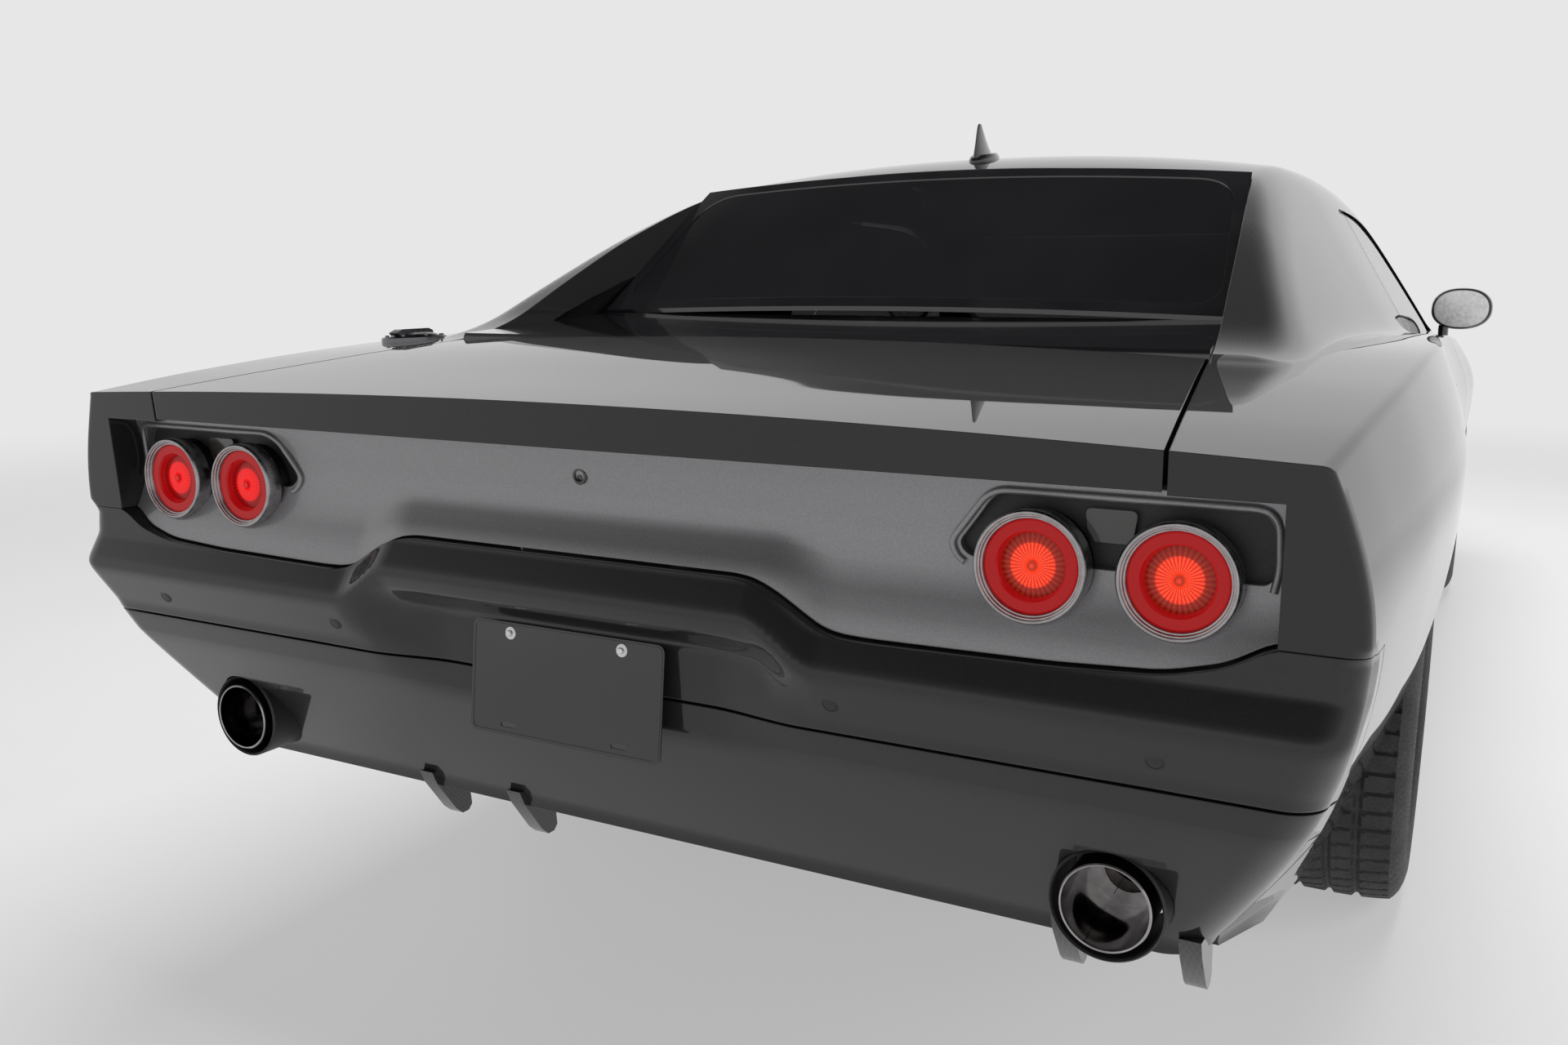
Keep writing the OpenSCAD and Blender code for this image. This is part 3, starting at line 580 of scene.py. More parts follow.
def make_materials(p):
    MATS.update(
        black_paint=paint("black_paint", p.paint_colour, 0.0, 0.45, 0.0),
        grey_paint=paint("grey_paint", p.panel_colour, 0.6, 0.36, 0.25),
        black_trim=plastic("black_trim", (0.012, 0.012, 0.013), 0.5),
        gloss_black=plastic("gloss_black", (0.006, 0.006, 0.007), 0.12, 0.02, 300.0, 0.001, 1.0),
        dark_metal=metal("dark_metal", (0.34, 0.325, 0.33), 0.3, 0.15, (1, 1, 1)),
        dark_chrome=metal("dark_chrome", (0.32, 0.31, 0.31), 0.09, 0.03, (1, 8, 1)),
        ribbed=grooved("ribbed_housing", (0.05, 0.05, 0.052), 0.004, "Y"),
        tinted_glass=glass("tinted_glass", (0.008, 0.008, 0.009), 0.86),
        smoked_lens=plastic("smoked_lens", (0.02, 0.018, 0.016), 0.15, 0.3, 220.0, 0.001, 1.0),
        tyre=rubber("tyre"),
        rim=paint("rim", (0.035, 0.035, 0.038), 0.8, 0.3, 0.1, 0.0015),
        cast=plastic("cast", (0.09, 0.09, 0.095), 0.6, 0.5, 240.0),
        chassis=plastic("chassis", (0.022, 0.022, 0.024), 0.48, 0.2, 160.0, 0.001),
        exhaust_steel=metal("exhaust_steel", (0.35, 0.33, 0.31), 0.28, 0.1, (1, 6, 1)),
        seat_leather=leather("seat_leather"),
        plate_black=plastic("plate_black", (0.006, 0.006, 0.006), 0.22, 0.02, 300.0, 0.0008, 0.7),
        cap_metal=metal("cap_metal", (0.16, 0.16, 0.17), 0.3, 0.1, (1, 1, 1)),
        engine=metal("engine", (0.3, 0.3, 0.31), 0.5, 0.3, (1, 1, 1)),
        carbon=carbon("carbon_weave"),
        bright=metal("bright_steel", (0.6, 0.6, 0.6), 0.2, 0.02, (1, 1, 1)),
        lamp_orange=lamp_glow("lamp_orange", (1.0, 0.11, 0.03), (0.62, 0.006, 0.003), 1.25, 34.0),
        lamp_red=lamp_glow("lamp_red", (1.0, 0.012, 0.014), (0.6, 0.0, 0.0), 1.15, 34.0),
        red_ring=lamp_glow("red_ring", (0.42, 0.004, 0.006), (0.3, 0.002, 0.003), 0.8, 60.0),
    )


# ---- Body shell ----
def tail_depth(x, z):
    """How far back the tail reaches at (x, z)."""
    ax = np.abs(x)
    hump = smoothstep(376, 276, ax)
    lift = 50 * hump * smoothstep(640, 705, z) * (1 - smoothstep(830, 900, z))
    zz = z - lift
    y = np.zeros(np.broadcast(x, z).shape)
    for d, w in ((-5, 0.2), (-2.5, 0.2), (0, 0.2), (2.5, 0.2), (5, 0.2)):
        y = y + w * np.interp(zz + d, TAIL_FACE[:, 0], TAIL_FACE[:, 1])
    pocket = smoothstep(345, 205, ax) * smoothstep(745, 700, z) * smoothstep(520, 600, z)
    flat = np.minimum(y, 2586 + 0 * z)
    y = y + (flat - y) * pocket
    return y


def tail_solid(back=1800):
    """Closed block whose back is the tail surface, rounded off towards the sides."""
    edge = side_half(2606.0, 0, 0, 40)
    zs = np.unique(np.concatenate([np.linspace(60, 1500, 100), np.linspace(600, 830, 80)]))
    # columns follow the body's own outline, so that the corner rounds off evenly
    share = np.unique(np.concatenate([np.linspace(-0.93, 0.93, 150), np.linspace(-0.44, 0.44, 90)]))
    turn = 1 - 0.07 * np.linspace(0, 1, 16)[:-1] ** 1.6
    share = np.unique(np.concatenate([share, turn, -turn, [-1.3, -1.03, 1.03, 1.3]]))
    wide = np.interp(zs, edge[:, 1], edge[:, 0])
    X = share[None, :] * wide[:, None]
    Z = np.repeat(zs[:, None], len(share), 1)
    Y = tail_depth(X, Z)
    d = wide[:, None] - np.abs(X)
    r = np.interp(Z, [300, 600, 790, 810, 1000], [60, 46, 40, 13, 10])
    inside = np.clip(r - d, 0, r)
    Y = Y - (r - np.sqrt(r * r - inside * inside)) - np.clip(-d, 0, None) * 3
    return sheet_solid(X, Y, Z, back)


def nose_solid():
    xs = np.linspace(-1010, 1010, 120)
    zs = np.unique(np.concatenate([np.linspace(60, 1300, 90), np.linspace(500, 650, 50)]))
    X, Z = np.meshgrid(xs, zs)
    Y = np.zeros(X.shape)
    for d in (-8, -4, 0, 4, 8):
        Y = Y + 0.2 * np.interp(Z + d, NOSE_FACE[:, 0], NOSE_FACE[:, 1])
    wide = np.interp(Z, [330, 700, 868, 1100], [735, 884, 854, 850]) + 4
    r = 60.0
    inside = np.clip(r - np.clip(wide - np.abs(X), 0, None), 0, None)
    Y = Y + (r - np.sqrt(np.clip(r * r - inside * inside, 0, None)))
    return sheet_solid(X, Y, Z, -900)


def sheet_solid(X, Y, Z, back):
    """Solid between the surface (X, Y, Z) on a grid and the plane y = back."""
    n, m = X.shape
    front = np.stack([X, Y, Z], -1).reshape(-1, 3)
    rear = np.stack([X, np.full(X.shape, float(back)), Z], -1).reshape(-1, 3)
    N = n * m
    faces = []
    for i in range(n - 1):
        for j in range(m - 1):
            a, b, c, d = i * m + j, i * m + j + 1, (i + 1) * m + j + 1, (i + 1) * m + j
            faces.append((a, b, c, d))
    border = [j for j in range(m)] + [(i + 1) * m - 1 for i in range(1, n)]
    border += [(n - 1) * m + j for j in range(m - 2, -1, -1)] + [i * m for i in range(n - 2, 0, -1)]
    for k in range(len(border)):
        a, b = border[k], border[(k + 1) % len(border)]
        faces.append((a, b, N + b, N + a))
    faces.append(tuple(N + b for b in border))
    used = sorted({v for f in faces for v in f})
    remap = {v: i for i, v in enumerate(used)}
    verts = np.vstack([front, rear])[used]
    return to_object("sheet", verts, [tuple(remap[v] for v in f) for f in faces])


def arch_cutter(y, r, x0=560.0, z0=AXLE_Z + 6):
    pts = [[y + r * math.cos(a), z0 + r * math.sin(a)] for a in np.linspace(0, math.pi, 60)]
    pts += [[y - r, 0], [y + r, 0]]
    return across(pts, x0, FAR)


def both_sides(make):
    """A cutter on the left and its mirror image."""
    left = make()
    return [left, mirrored(left, "cut")]


def deck_plan(d):
    pts = [[p[0] - d, p[1]] for p in DECK_SIDE]
    return pts + [[-x, y] for x, y in pts[::-1]]


def build_shell():
    """Roof, pillars, buttresses and rear quarters as one welded shell."""
    upper = body_loft("upper", -1058, 2638, blend=True, step=16, n_top=64)
    upper = keep(upper, tail_solid(-1100))
    inner_low = keep(body_loft("low", 270, 2520, 60, 26, step=60, n_top=16),
                     block((-FAR, 300, 0), (FAR, 2520, FAR)))
    inner_cab = cabin_inner()
    cuts = [inner_low, inner_cab]
    # below the belt only the rear quarters remain
    cuts.append(block((-FAR, -FAR, 0), (FAR, DOOR_R + GAP, 1010)))
    cuts.append(block((-790, -FAR, 0), (790, 841, 1030)))
    cuts.append(block((-FAR, -FAR, 900), (FAR, -905, 1013)))
    # deck opening with the lid's side gaps
    plan = DECK_SIDE[1:] + [[748 + GAP, 2624], [749 + GAP, 2700]]
    plan = plan + [[-x, y] for x, y in plan[::-1]]
    cuts.append(upward(plan, 930, FAR))
    cuts.append(block((-760, 840, 0), (760, 2700, 931)))
    cuts += both_sides(lambda: arch_cutter(REAR_Y, 398))
    cuts.append(block((-FAR, -FAR, 0), (FAR, REAR_Y, SILL_Z)))
    cuts.append(block((-862.5, 2500, 740), (862.5, FAR, 944)))
    cuts.append(block((-FAR, 2531, 0), (FAR, FAR, 800)))
    # front edge of the valance
    cuts.append(across([[2190, 0], [2528, 640], [FAR, 640], [FAR, 0]], -FAR, FAR))
    # screen and side windows
    cuts.append(screen_cutter(0))
    cuts += both_sides(lambda: side_window_cutter(0))
    shell_obj = cut(upper, *cuts)
    # strip between the door glass and the body top, which the doors and fenders fill
    low = body_loft("low", -1100, 525, 0, -0.5, step=22)
    low = keep(low, block((-FAR, -1100, 0), (FAR, 520, FAR)))
    low = cut(low, block((-711, -FAR, 0), (711, FAR, FAR)), block((-FAR, DOOR_R + GAP, 0), (FAR, FAR, FAR)))
    shell_obj = cut(shell_obj, low)
    # quarter top under the fixed glass keeps the lower body's shape
    box = both_sides(lambda: across([[DOOR_R - 50, 1000], [DOOR_R - 50, 1300], [519, 1300], [519, 1000]],
                                    700, FAR))
    keep_out = cut(box[0], body_loft("low", DOOR_R - 60, 540, 0, 0, step=22))
    keep_out2 = cut(box[1], body_loft("low", DOOR_R - 60, 540, 0, 0, step=22))
    shell_obj = cut(shell_obj, keep_out, keep_out2)
    return finish(shell_obj, "body_shell", MATS["black_paint"], "body",
                  ["roof", "rear_quarter_left", "rear_quarter_right"])


def cabin_ring(y, side, top, z0=900.0, n=40):
    x0 = hermite(CABIN, y, 1) - side
    xb = x0 - (z0 - BELT_Z) * LEAN
    xs = np.linspace(0, xb, 900)
    z = np.maximum(cabin_top(y, xs, side, top), z0)
    d = np.hypot(np.diff(xs), np.diff(z))
    s = np.concatenate([[0], np.cumsum(d)])
    at = np.interp(np.linspace(0, s[-1], n), s, xs)
    half = np.column_stack([at, np.interp(at, xs, z)])[::-1]
    half[0] = [xb, z0]
    return np.vstack([half, half[:-1][::-1] * [-1, 1]])


def cabin_solid(y0, y1, side, top, step=25.0, z0=900.0):
    rings = []
    for y in np.linspace(y0, y1, int((y1 - y0) / step) + 2):
        r = cabin_ring(float(np.clip(y, -1060, 2060)), side, top, z0)
        rings.append(np.column_stack([r[:, 0], np.full(len(r), y), r[:, 1]]))
    return loft("cabin", rings)


def cabin_inner():
    inner = cabin_solid(-1070, 1262, 50, 32, z0=880.0)
    rear = keep(cabin_solid(500, 2059, 95, 40, z0=880.0), block((-FAR, 500, 800), (FAR, 2059, FAR)))
    return join_solid(keep(inner, block((-FAR, -FAR, 0), (FAR, 1262, FAR))), rear)


def screen_outline(d):
    return [[d - 700, 1012.7 + d], [700 - d, 1012.7 + d], [735 - d, 1056], [588 - d, 1318 - d],
            [d - 588, 1318 - d], [d - 735, 1056]]


def screen_cutter(d):
    return through(rounded(screen_outline(d), [8, 8, 60, 60, 60, 60]), -1300, -200)


def side_window_outline(d):
    return [[d * 2 - 828, 1020], [d * 2 - 745, 1078], [d - 470, 1222 - d], [d - 330, 1283 - d],
            [-100, 1337 - d], [450, 1338 - d], [520 - d, 1290 - d / 2], [520 - d, 1020]]


def side_window_cutter(d):
    pts = rounded(side_window_outline(d), [0, 60, 160, 160, 260, 45, 60, 0], 8)
    return across(pts, 560, FAR)


def build_fenders():
    left = body_loft("fender", -2615, DOOR_F - GAP, step=18)
    left = keep(left, nose_solid())
    left = cut(left, body_loft("in", -2560, DOOR_F - GAP - 40, 60, 26, step=60, n_top=12),
               block((-FAR, -FAR, 0), (HOOD_HALF + GAP, FAR, FAR)),
               block((0, -FAR, 0), (FAR, -2480, 617)),
               arch_cutter(FRONT_Y, 404), block((0, FRONT_Y, 0), (800, -1250, 240)))
    right = mirrored(left, "front_fender_right_skin")
    for obj, side in ((left, "left"), (right, "right")):
        finish(obj, f"front_fender_{side}_skin", MATS["black_paint"], "body",
               [f"front_fender_{side}"])
    return left, right


def build_hood():
    hood = body_loft("hood", -2630, -1080, step=18, n_top=60)
    hood = cut(hood, body_loft("in", -2635, -1070, 0, 26, step=60, n_top=30))
    hood = keep(hood, block((-HOOD_HALF, -2560, 700), (HOOD_HALF, -1105, 1200)))
    # two shallow recesses either side of the middle
    scoops = []
    for s in (1, -1):
        pts = rounded([[s * 190, -1720], [s * 430, -1720], [s * 410, -1300], [s * 230, -1300]], 50, 8)
        c = upward(pts, 900, 1200)
        scoops.append(cut(c, body_loft("in", -1760, -1260, 0, 7, step=30, n_top=40)))
    hood = cut(hood, *scoops)
    arms = []
    for s in (1, -1):
        x = s * 640
        arm = across([[-1150, 960], [-1150, 988], [-1112, 996], [-1056, 976], [-1060, 944], [-1100, 946]],
                     x - 6, x + 6)
        arm = join_solid(arm, lathe("eye", [(-6, 9), (-6, 17), (6, 17), (6, 9)], (x, -1060, 960), "X", 40))
        arms.append(arm)
    hood = merge("hood_lid", [hood] + arms)
    return finish(hood, "hood_lid", MATS["black_paint"], "hood", ["hood"])


def build_decklid():
    lid = body_loft("lid", 1960, 2638, step=14, n_top=60)
    lid = keep(lid, tail_solid())
    lid = keep(lid, upward([[-671, 2013], [671, 2013], [748, 2624], [750, 2700], [-750, 2700],
                            [-748, 2624]], 947, 1200))
    inner = keep(body_loft("in", 1900, 2637, 0, 26, step=50, n_top=30), block((-FAR, 0, 0), (FAR, 2596, FAR)))
    lid = cut(lid, inner, lathe("eye", [(-760, 0.5), (-760, 72.1), (760, 72.1), (760, 0.5)],
                                (0, 1953, 1026), "X", 80))
    arms = []
    for s in (1, -1):
        arc = [[1953 + r * math.cos(a), 1026 + r * math.sin(a)]
               for r, angles in ((104, np.linspace(-1.57, 0.2, 20)), (88, np.linspace(0.2, -1.57, 20)))
               for a in angles]
        arm = across(arc, s * 560 - 6, s * 560 + 6)
        web = across([[1945, 1026], [1961, 1026], [1961, 932], [1945, 932]], s * 560 - 6, s * 560 + 6)
        eye = lathe("eye", [(-6, 6.5), (-6, 13), (6, 13), (6, 6.5)], (s * 560, 1953, 1026), "X", 40)
        arms.append(join_solid(arm, web, eye))
    lid = merge("deck_lid", [lid] + arms)
    return finish(lid, "deck_lid", MATS["black_paint"], "decklid", ["decklid"])


def build_filler():
    top = across([[1608, 1062], [1608, 1094], [1640, 1090], [1800, 1078], [2013, 1061], [2013, 1020]],
                 -700, 700)
    fill = keep(upward(deck_plan(0.8), 900, 1200), top)
    fill = cut(fill, across([[1700, 900], [1700, 1044], [2100, 1044], [2100, 900]], -760, 760))
    lid_way = cut(block((-750, 1953, 900), (750, 2100, 1130)),
                  lathe("eye", [(-770, 0.5), (-770, 66.1), (770, 66.1), (770, 0.5)],
                        (0, 1953, 1026), "X", 80))
    fill = cut(fill, lid_way)
    pins = []
    for s in (1, -1):
        pins.append(block((s * 572 - 4, 1941, 1014), (s * 572 + 4, 1965, 1045)))
        pins.append(lathe("pin", [(-10, 0.3), (-10, 6), (12 if s > 0 else 10, 6), (10, 0.3)],
                          (s * 560, 1953, 1026), "X", 24))
    fill = merge("glass_shelf", [fill] + pins)
    return finish(fill, "glass_shelf", MATS["gloss_black"], "body", ["deck_filler"])


def build_doors():
    left = body_loft("door", DOOR_F - 40, DOOR_R + 40, step=18)
    left = cut(left, block((-FAR, -FAR, 0), (800, FAR, FAR)), block((0, -FAR, 0), (FAR, FAR, SILL_Z + 8)),
               block((0, -FAR, 0), (FAR, DOOR_F, FAR)),
               upward([[799, DOOR_R - 22], [990, DOOR_R], [FAR, DOOR_R], [FAR, FAR], [799, FAR]], 0, FAR))
    left = cut(left, lathe("eye", [(-45, 0.3), (-45, 7.3), (45, 7.3), (45, 0.3)], (930, -925, 800), "Z", 32),
               keep(lathe("eye", [(-30, 0.3), (-30, 45), (30, 45), (30, 0.3)], (930, -925, 800), "Z", 48),
                    block((870, -985, 0), (950, -865, 1000))))
    # pocket behind the pull, and the pull itself
    pocket = across(rounded([[70, 878], [214, 878], [214, 918], [70, 918]], 18), 934, FAR)
    left = cut(left, pocket)
    pull = across(rounded([[78, 889], [206, 889], [206, 907], [78, 907]], 8), 938, 953)
    left = merge("door", [left, pull])
    right = mirrored(left, "door")
    for obj, side in ((left, "left"), (right, "right")):
        finish(obj, f"door_{side}_skin", MATS["black_paint"], f"door_{side}",
               [f"door_{side}"])


def glass_band(y0, y1, inset, thick=5):
    outer = cabin_solid(y0, y1, inset, inset)
    return cut(outer, cabin_solid(y0 - 5, y1 + 5, inset + thick, inset + thick, z0=880.0))


def build_glass():
    side = keep(glass_band(-900, 620, 6), side_window_cutter(0.8))
    side = cut(side, body_loft("low", -1000, 640, 0, -0.4, step=30))
    for name, y0, y1 in (("door_glass", -900, DOOR_R - 4), ("quarter", DOOR_R + 4, 520)):
        piece = side.copy()
        piece.data = side.data.copy()
        bpy.context.scene.collection.objects.link(piece)
        piece = keep(piece, block((560, y0, 1000), (FAR, y1, FAR)))
        if name == "door_glass":
            inner = side_window_cutter(6)
            piece = keep(piece, inner)
            other = mirrored(piece, "g")
            finish(piece, "door_glass_left_pane", MATS["tinted_glass"], "door_left",
                   ["door_glass_left"])
            finish(other, "door_glass_right_pane", MATS["tinted_glass"], "door_right",
                   ["door_glass_right"])
        else:
            other = mirrored(piece, "g")
            both = merge("quarter_panes", [piece, other])
            finish(both, "quarter_panes", MATS["tinted_glass"], "body", ["quarter_glass"])
    bpy.data.objects.remove(side)
    screen = keep(glass_band(-1055, -250, 6), screen_cutter(0.8))
    screen = keep(screen, block((-FAR, -1024, 0), (FAR, 0, FAR)))
    finish(screen, "windshield_pane", MATS["tinted_glass"], "body", ["windshield"])


def arched(y0, z0, rise0, y1, z1, rise1, half, drop, thick, name, nx=40, ny=24):
    """Curved sheet between two arched lines across the car."""
    rings = []
    for t in np.linspace(0, 1, ny):
        y = y0 + (y1 - y0) * t
        z = z0 + (z1 - z0) * t + 10 * t * (1 - t)
        rise = rise0 + (rise1 - rise0) * t
        xs = np.linspace(-half, half, nx)
        top = z + rise * (1 - (xs / half) ** 2) - drop
        ring = [[x, y, zt] for x, zt in zip(xs, top)] + [[x, y, zt - thick]
                                                         for x, zt in zip(xs[::-1], top[::-1])]
        rings.append(ring)
    return loft(name, rings)


def build_rear_glass():
    args = (1254, 1357, 31, 1612, 1098, 14, 660)
    frame_sheet = arched(*args, 0.0, 9.0, "frame")
    frame_sheet = keep(frame_sheet, upward(deck_plan(0.8), 900, 1500))
    hole = upward(rounded([[-572, 1276], [572, 1276], [612, 1590], [-612, 1590]], [70, 70, 60, 60], 10),
                  900, 1600)
    frame_sheet = cut(frame_sheet, hole)
    pane = arched(*args, 3.0, 4.0, "pane")
    hole2 = upward(rounded([[-571.6, 1276.4], [571.6, 1276.4], [611.6, 1589.6], [-611.6, 1589.6]],
                           [70, 70, 60, 60], 10), 900, 1600)
    pane = keep(pane, hole2)
    finish(frame_sheet, "rear_glass_frame", MATS["gloss_black"], "body", ["rear_window"])
    finish(pane, "rear_glass_pane", MATS["tinted_glass"], "body", ["rear_window"])


# ---- Tail ----
def bumper_top_line(d):
    """Top edge of the bumper across the car, moved up by d."""
    half = [(0, 808), (262, 808), (290, 802), (330, 780), (356, 762), (380, 753), (420, 751), (507, 752),
            (640, 754), (755, 760), (820, 776), (850, 796), (863, 800)]
    xs = np.linspace(0, 863, 140)
    zs = np.interp(xs, [p[0] for p in half], [p[1] for p in half])
    k = np.ones(7) / 7
    zs = np.convolve(np.pad(zs, 3, mode="edge"), k, "valid") + d
    right = list(zip(xs, zs))
    return [(-x, z) for x, z in right[::-1][:-1]] + right


def build_bumper():
    bumper = keep(body_loft("bumper", 2400, 2639, step=12, n_top=20), tail_solid())
    line = bumper_top_line(0)
    above = [[-FAR, 799], [-863, 799]] + [list(p) for p in line] + [[863, 799], [FAR, 799], [FAR, 1500],
                                                                   [-FAR, 1500]]
    above = [p for i, p in enumerate(above) if i == 0 or math.dist(p, above[i - 1]) > 0.5]
    bumper = cut(bumper, through(above, 2000, FAR), block((-FAR, 0, 0), (FAR, 2533, FAR)),
                 block((-FAR, 0, 0), (FAR, FAR, 637.5)), block((-818, 0, 0), (818, 2574, 1200)))
    sensors = []
    for s in (1, -1):
        for x, z in ((755, 672), (390, 676)):
            y = float(tail_depth(np.array(s * x), np.array(z)))
            ring = [(-6, 8.4), (-6, 10.6), (0.6, 10.6), (1.2, 10), (1.2, 8.9), (0.6, 8.4)]
            disc = [(-5, 0.2), (-5, 8), (0.8, 8), (1.1, 7.4), (1.1, 0.2)]
            for prof in (ring, disc):
                o = lathe("sensor", prof, (0, 0, 0), "Y", 40)
                o.data.transform(Matrix.Rotation(math.radians(-24), 4, "X"))
                o.data.transform(Matrix.Translation(Vector((s * x, y - 0.6, z)) * 0.001))
                sensors.append(o)
    finish(bumper, "rear_bumper_skin", MATS["black_paint"], "body", ["rear_bumper"])
    dots = merge("parking_sensors", sensors)
    finish(dots, "parking_sensors", MATS["black_trim"], "body")
    # lower valance, with round ways for the tips
    val = keep(body_loft("valance", 2380, 2639, step=12, n_top=8), tail_solid())
    val = keep(val, across([[2400, 392], [2460, 380], [2640, 380], [2640, 633.5], [2531, 633.5]], -FAR, FAR))
    val = cut(val, *both_sides(lambda: lathe("eye", [(2300, 0.5), (2300, 67), (2700, 67), (2700, 0.5)],
                                             (694, 0, 466), "Y", 72)))
    finish(val, "rear_valance_skin", MATS["black_paint"], "body", ["rear_valance"])
    liners, fins = [], []
    for s in (1, -1):
        liners.append(lathe("liner", [(2440, 61), (2440, 66.5), (2538, 66.5), (2541, 64), (2538, 62)],
                            (s * 694, 0, 466), "Y", 72))
    for x in (375, 204, -626, -775):
        z0 = 394 if abs(x) < 700 else 400
        fin = across([[2396, z0 + 2], [2474, z0 + 14], [2464, z0 - 8], [2424, z0 - 62], [2410, z0 - 74],
                      [2396, z0 - 74], [2388, z0 - 66]], x - 13, x + 13)
        fins.append(fin)
    finish(merge("tip_surrounds", liners), "tip_surrounds", MATS["black_trim"], "body")
    finish(merge("diffuser_fins", fins), "diffuser_fins", MATS["carbon"], "body")


PANEL_FACE = np.array([[700, 2604], [752, 2601], [766, 2597], [790, 2586], [820, 2569], [850, 2560],
                       [885, 2558], [915, 2563], [944, 2574], [1000, 2580]])
POCKET = [[560, 926], [838, 926], [848, 914], [852, 868], [846, 852], [530, 852], [516, 866]]


def panel_depth(x, z):
    ax = np.abs(x)
    hump = smoothstep(376, 276, ax)
    zz = z - 44 * hump * smoothstep(900, 800, z)
    return np.interp(zz, PANEL_FACE[:, 0], PANEL_FACE[:, 1])


def build_tail_panel():
    xs = np.linspace(-861.5, 861.5, 240)
    zs = np.linspace(742, 943, 90)
    X, Z = np.meshgrid(xs, zs)
    Y = np.zeros(X.shape)
    for d in (-14, -7, 0, 7, 14):
        Y = Y + 0.2 * panel_depth(X, Z + d)
    panel = sheet_solid(X, Y, Z, 2534)
    line = [list(p) for p in bumper_top_line(2.5)]
    below = [[-FAR, 600], [-FAR, 802]] + line + [[FAR, 802], [FAR, 600]]
    panel = cut(panel, through(below, 2000, FAR))
    outline = rounded(POCKET, [14, 8, 14, 12, 10, 10, 10], 6)
    panel = cut(panel, *both_sides(lambda: through(outline, 2546, FAR)))
    holes = []
    for s in (1, -1):
        for x in (607, 761):
            holes.append(lathe("eye", [(2000, 0.5), (2000, 58.6), (2700, 58.6), (2700, 0.5)],
                               (s * x, 0, 852), "Y", 64))
    panel = cut(panel, *holes)
    finish(panel, "tail_panel_skin", MATS["grey_paint"], "body", ["tail_panel"], 26)
    # black back of the pockets, and the raised bead round their tops
    backs, beads = [], []
    for s in (1, -1):
        back = through([[s * p[0], p[1]] for p in rounded(POCKET, [14, 8, 14, 12, 10, 10, 10], 6)],
                       2544.5, 2547.5)
        for x in (607, 761):
            back = cut(back, lathe("eye", [(2000, 0.5), (2000, 58.4), (2700, 58.4), (2700, 0.5)],
                                   (s * x, 0, 852), "Y", 64))
        backs.append(back)
        path = [[850, 846], [862 - 8, 868], [852, 918], [840, 931], [556, 931], [508, 868], [516, 852],
                [526, 846]]
        path = rounded(path[:], [0, 10, 14, 16, 22, 12, 8, 0], 8)
        beads.append(tube_along([[s * p[0], float(panel_depth(np.array(p[0]), np.array(p[1]))) + 1.5, p[1]]
                                 for p in path], 4.2))
    finish(merge("lamp_pockets", backs), "lamp_pockets", MATS["black_trim"], "body")
    finish(merge("lamp_beads", beads), "lamp_beads", MATS["grey_paint"], "body")
    # reversing lamps in the pockets, and the camera in the middle
    rev = []
    for s in (1, -1):
        rev.append(through(rounded([[s * 661, 880], [s * 707, 880], [s * 712, 916], [s * 656, 916]], 8),
                           2546, 2556))
    finish(merge("reversing_lamps", rev), "reversing_lamps", MATS["smoked_lens"], "body")
    y = float(panel_depth(np.array(0.0), np.array(905.0)))
    cam = lathe("camera", [(-8, 0.3), (-8, 11), (1.5, 11), (2.5, 10), (2.5, 7.5), (-1, 6.5), (0.5, 3), (1, 0.3)],
                (0, y, 905), "Y", 48)
    finish(cam, "rear_camera", MATS["gloss_black"], "body")


def tube_along(path, radius, n=12):
    """Round bar along a list of points."""
    pts = np.array(path, float)
    rings = []
    for i, p in enumerate(pts):
        t = pts[min(i + 1, len(pts) - 1)] - pts[max(i - 1, 0)]
        t = t / np.linalg.norm(t)
        u = np.cross(t, [0, 1, 0])
        if np.linalg.norm(u) < 0.1:
            u = np.cross(t, [1, 0, 0])
        u = u / np.linalg.norm(u)
        v = np.cross(t, u)
        rings.append([p + radius * (math.cos(a) * u + math.sin(a) * v)
                      for a in np.linspace(0, 2 * math.pi, n, endpoint=False)])
    return loft("bar", rings)


def disc_uv(obj, cx, cz, r):
    """UV map holding the angle and the radius share of each point."""
    mesh = obj.data
    layer = mesh.uv_layers.new(name="disc")
    for poly in mesh.polygons:
        angles = []
        for li in poly.loop_indices:
            v = mesh.vertices[mesh.loops[li].vertex_index].co * 1000
            dx, dz = v.x - cx, v.z - cz
            angles.append((math.atan2(dz, dx) if math.hypot(dx, dz) > 0.5 else None, math.hypot(dx, dz) / r))
        known = [a for a, _ in angles if a is not None]
        if known and max(known) - min(known) > math.pi:
            angles = [(a + 2 * math.pi if a is not None and a < 0 else a, q) for a, q in angles]
            known = [a for a, _ in angles if a is not None]
        mean = sum(known) / max(len(known), 1)
        for li, (a, q) in zip(poly.loop_indices, angles):
            layer.data[li].uv = (mean if a is None else a, q)


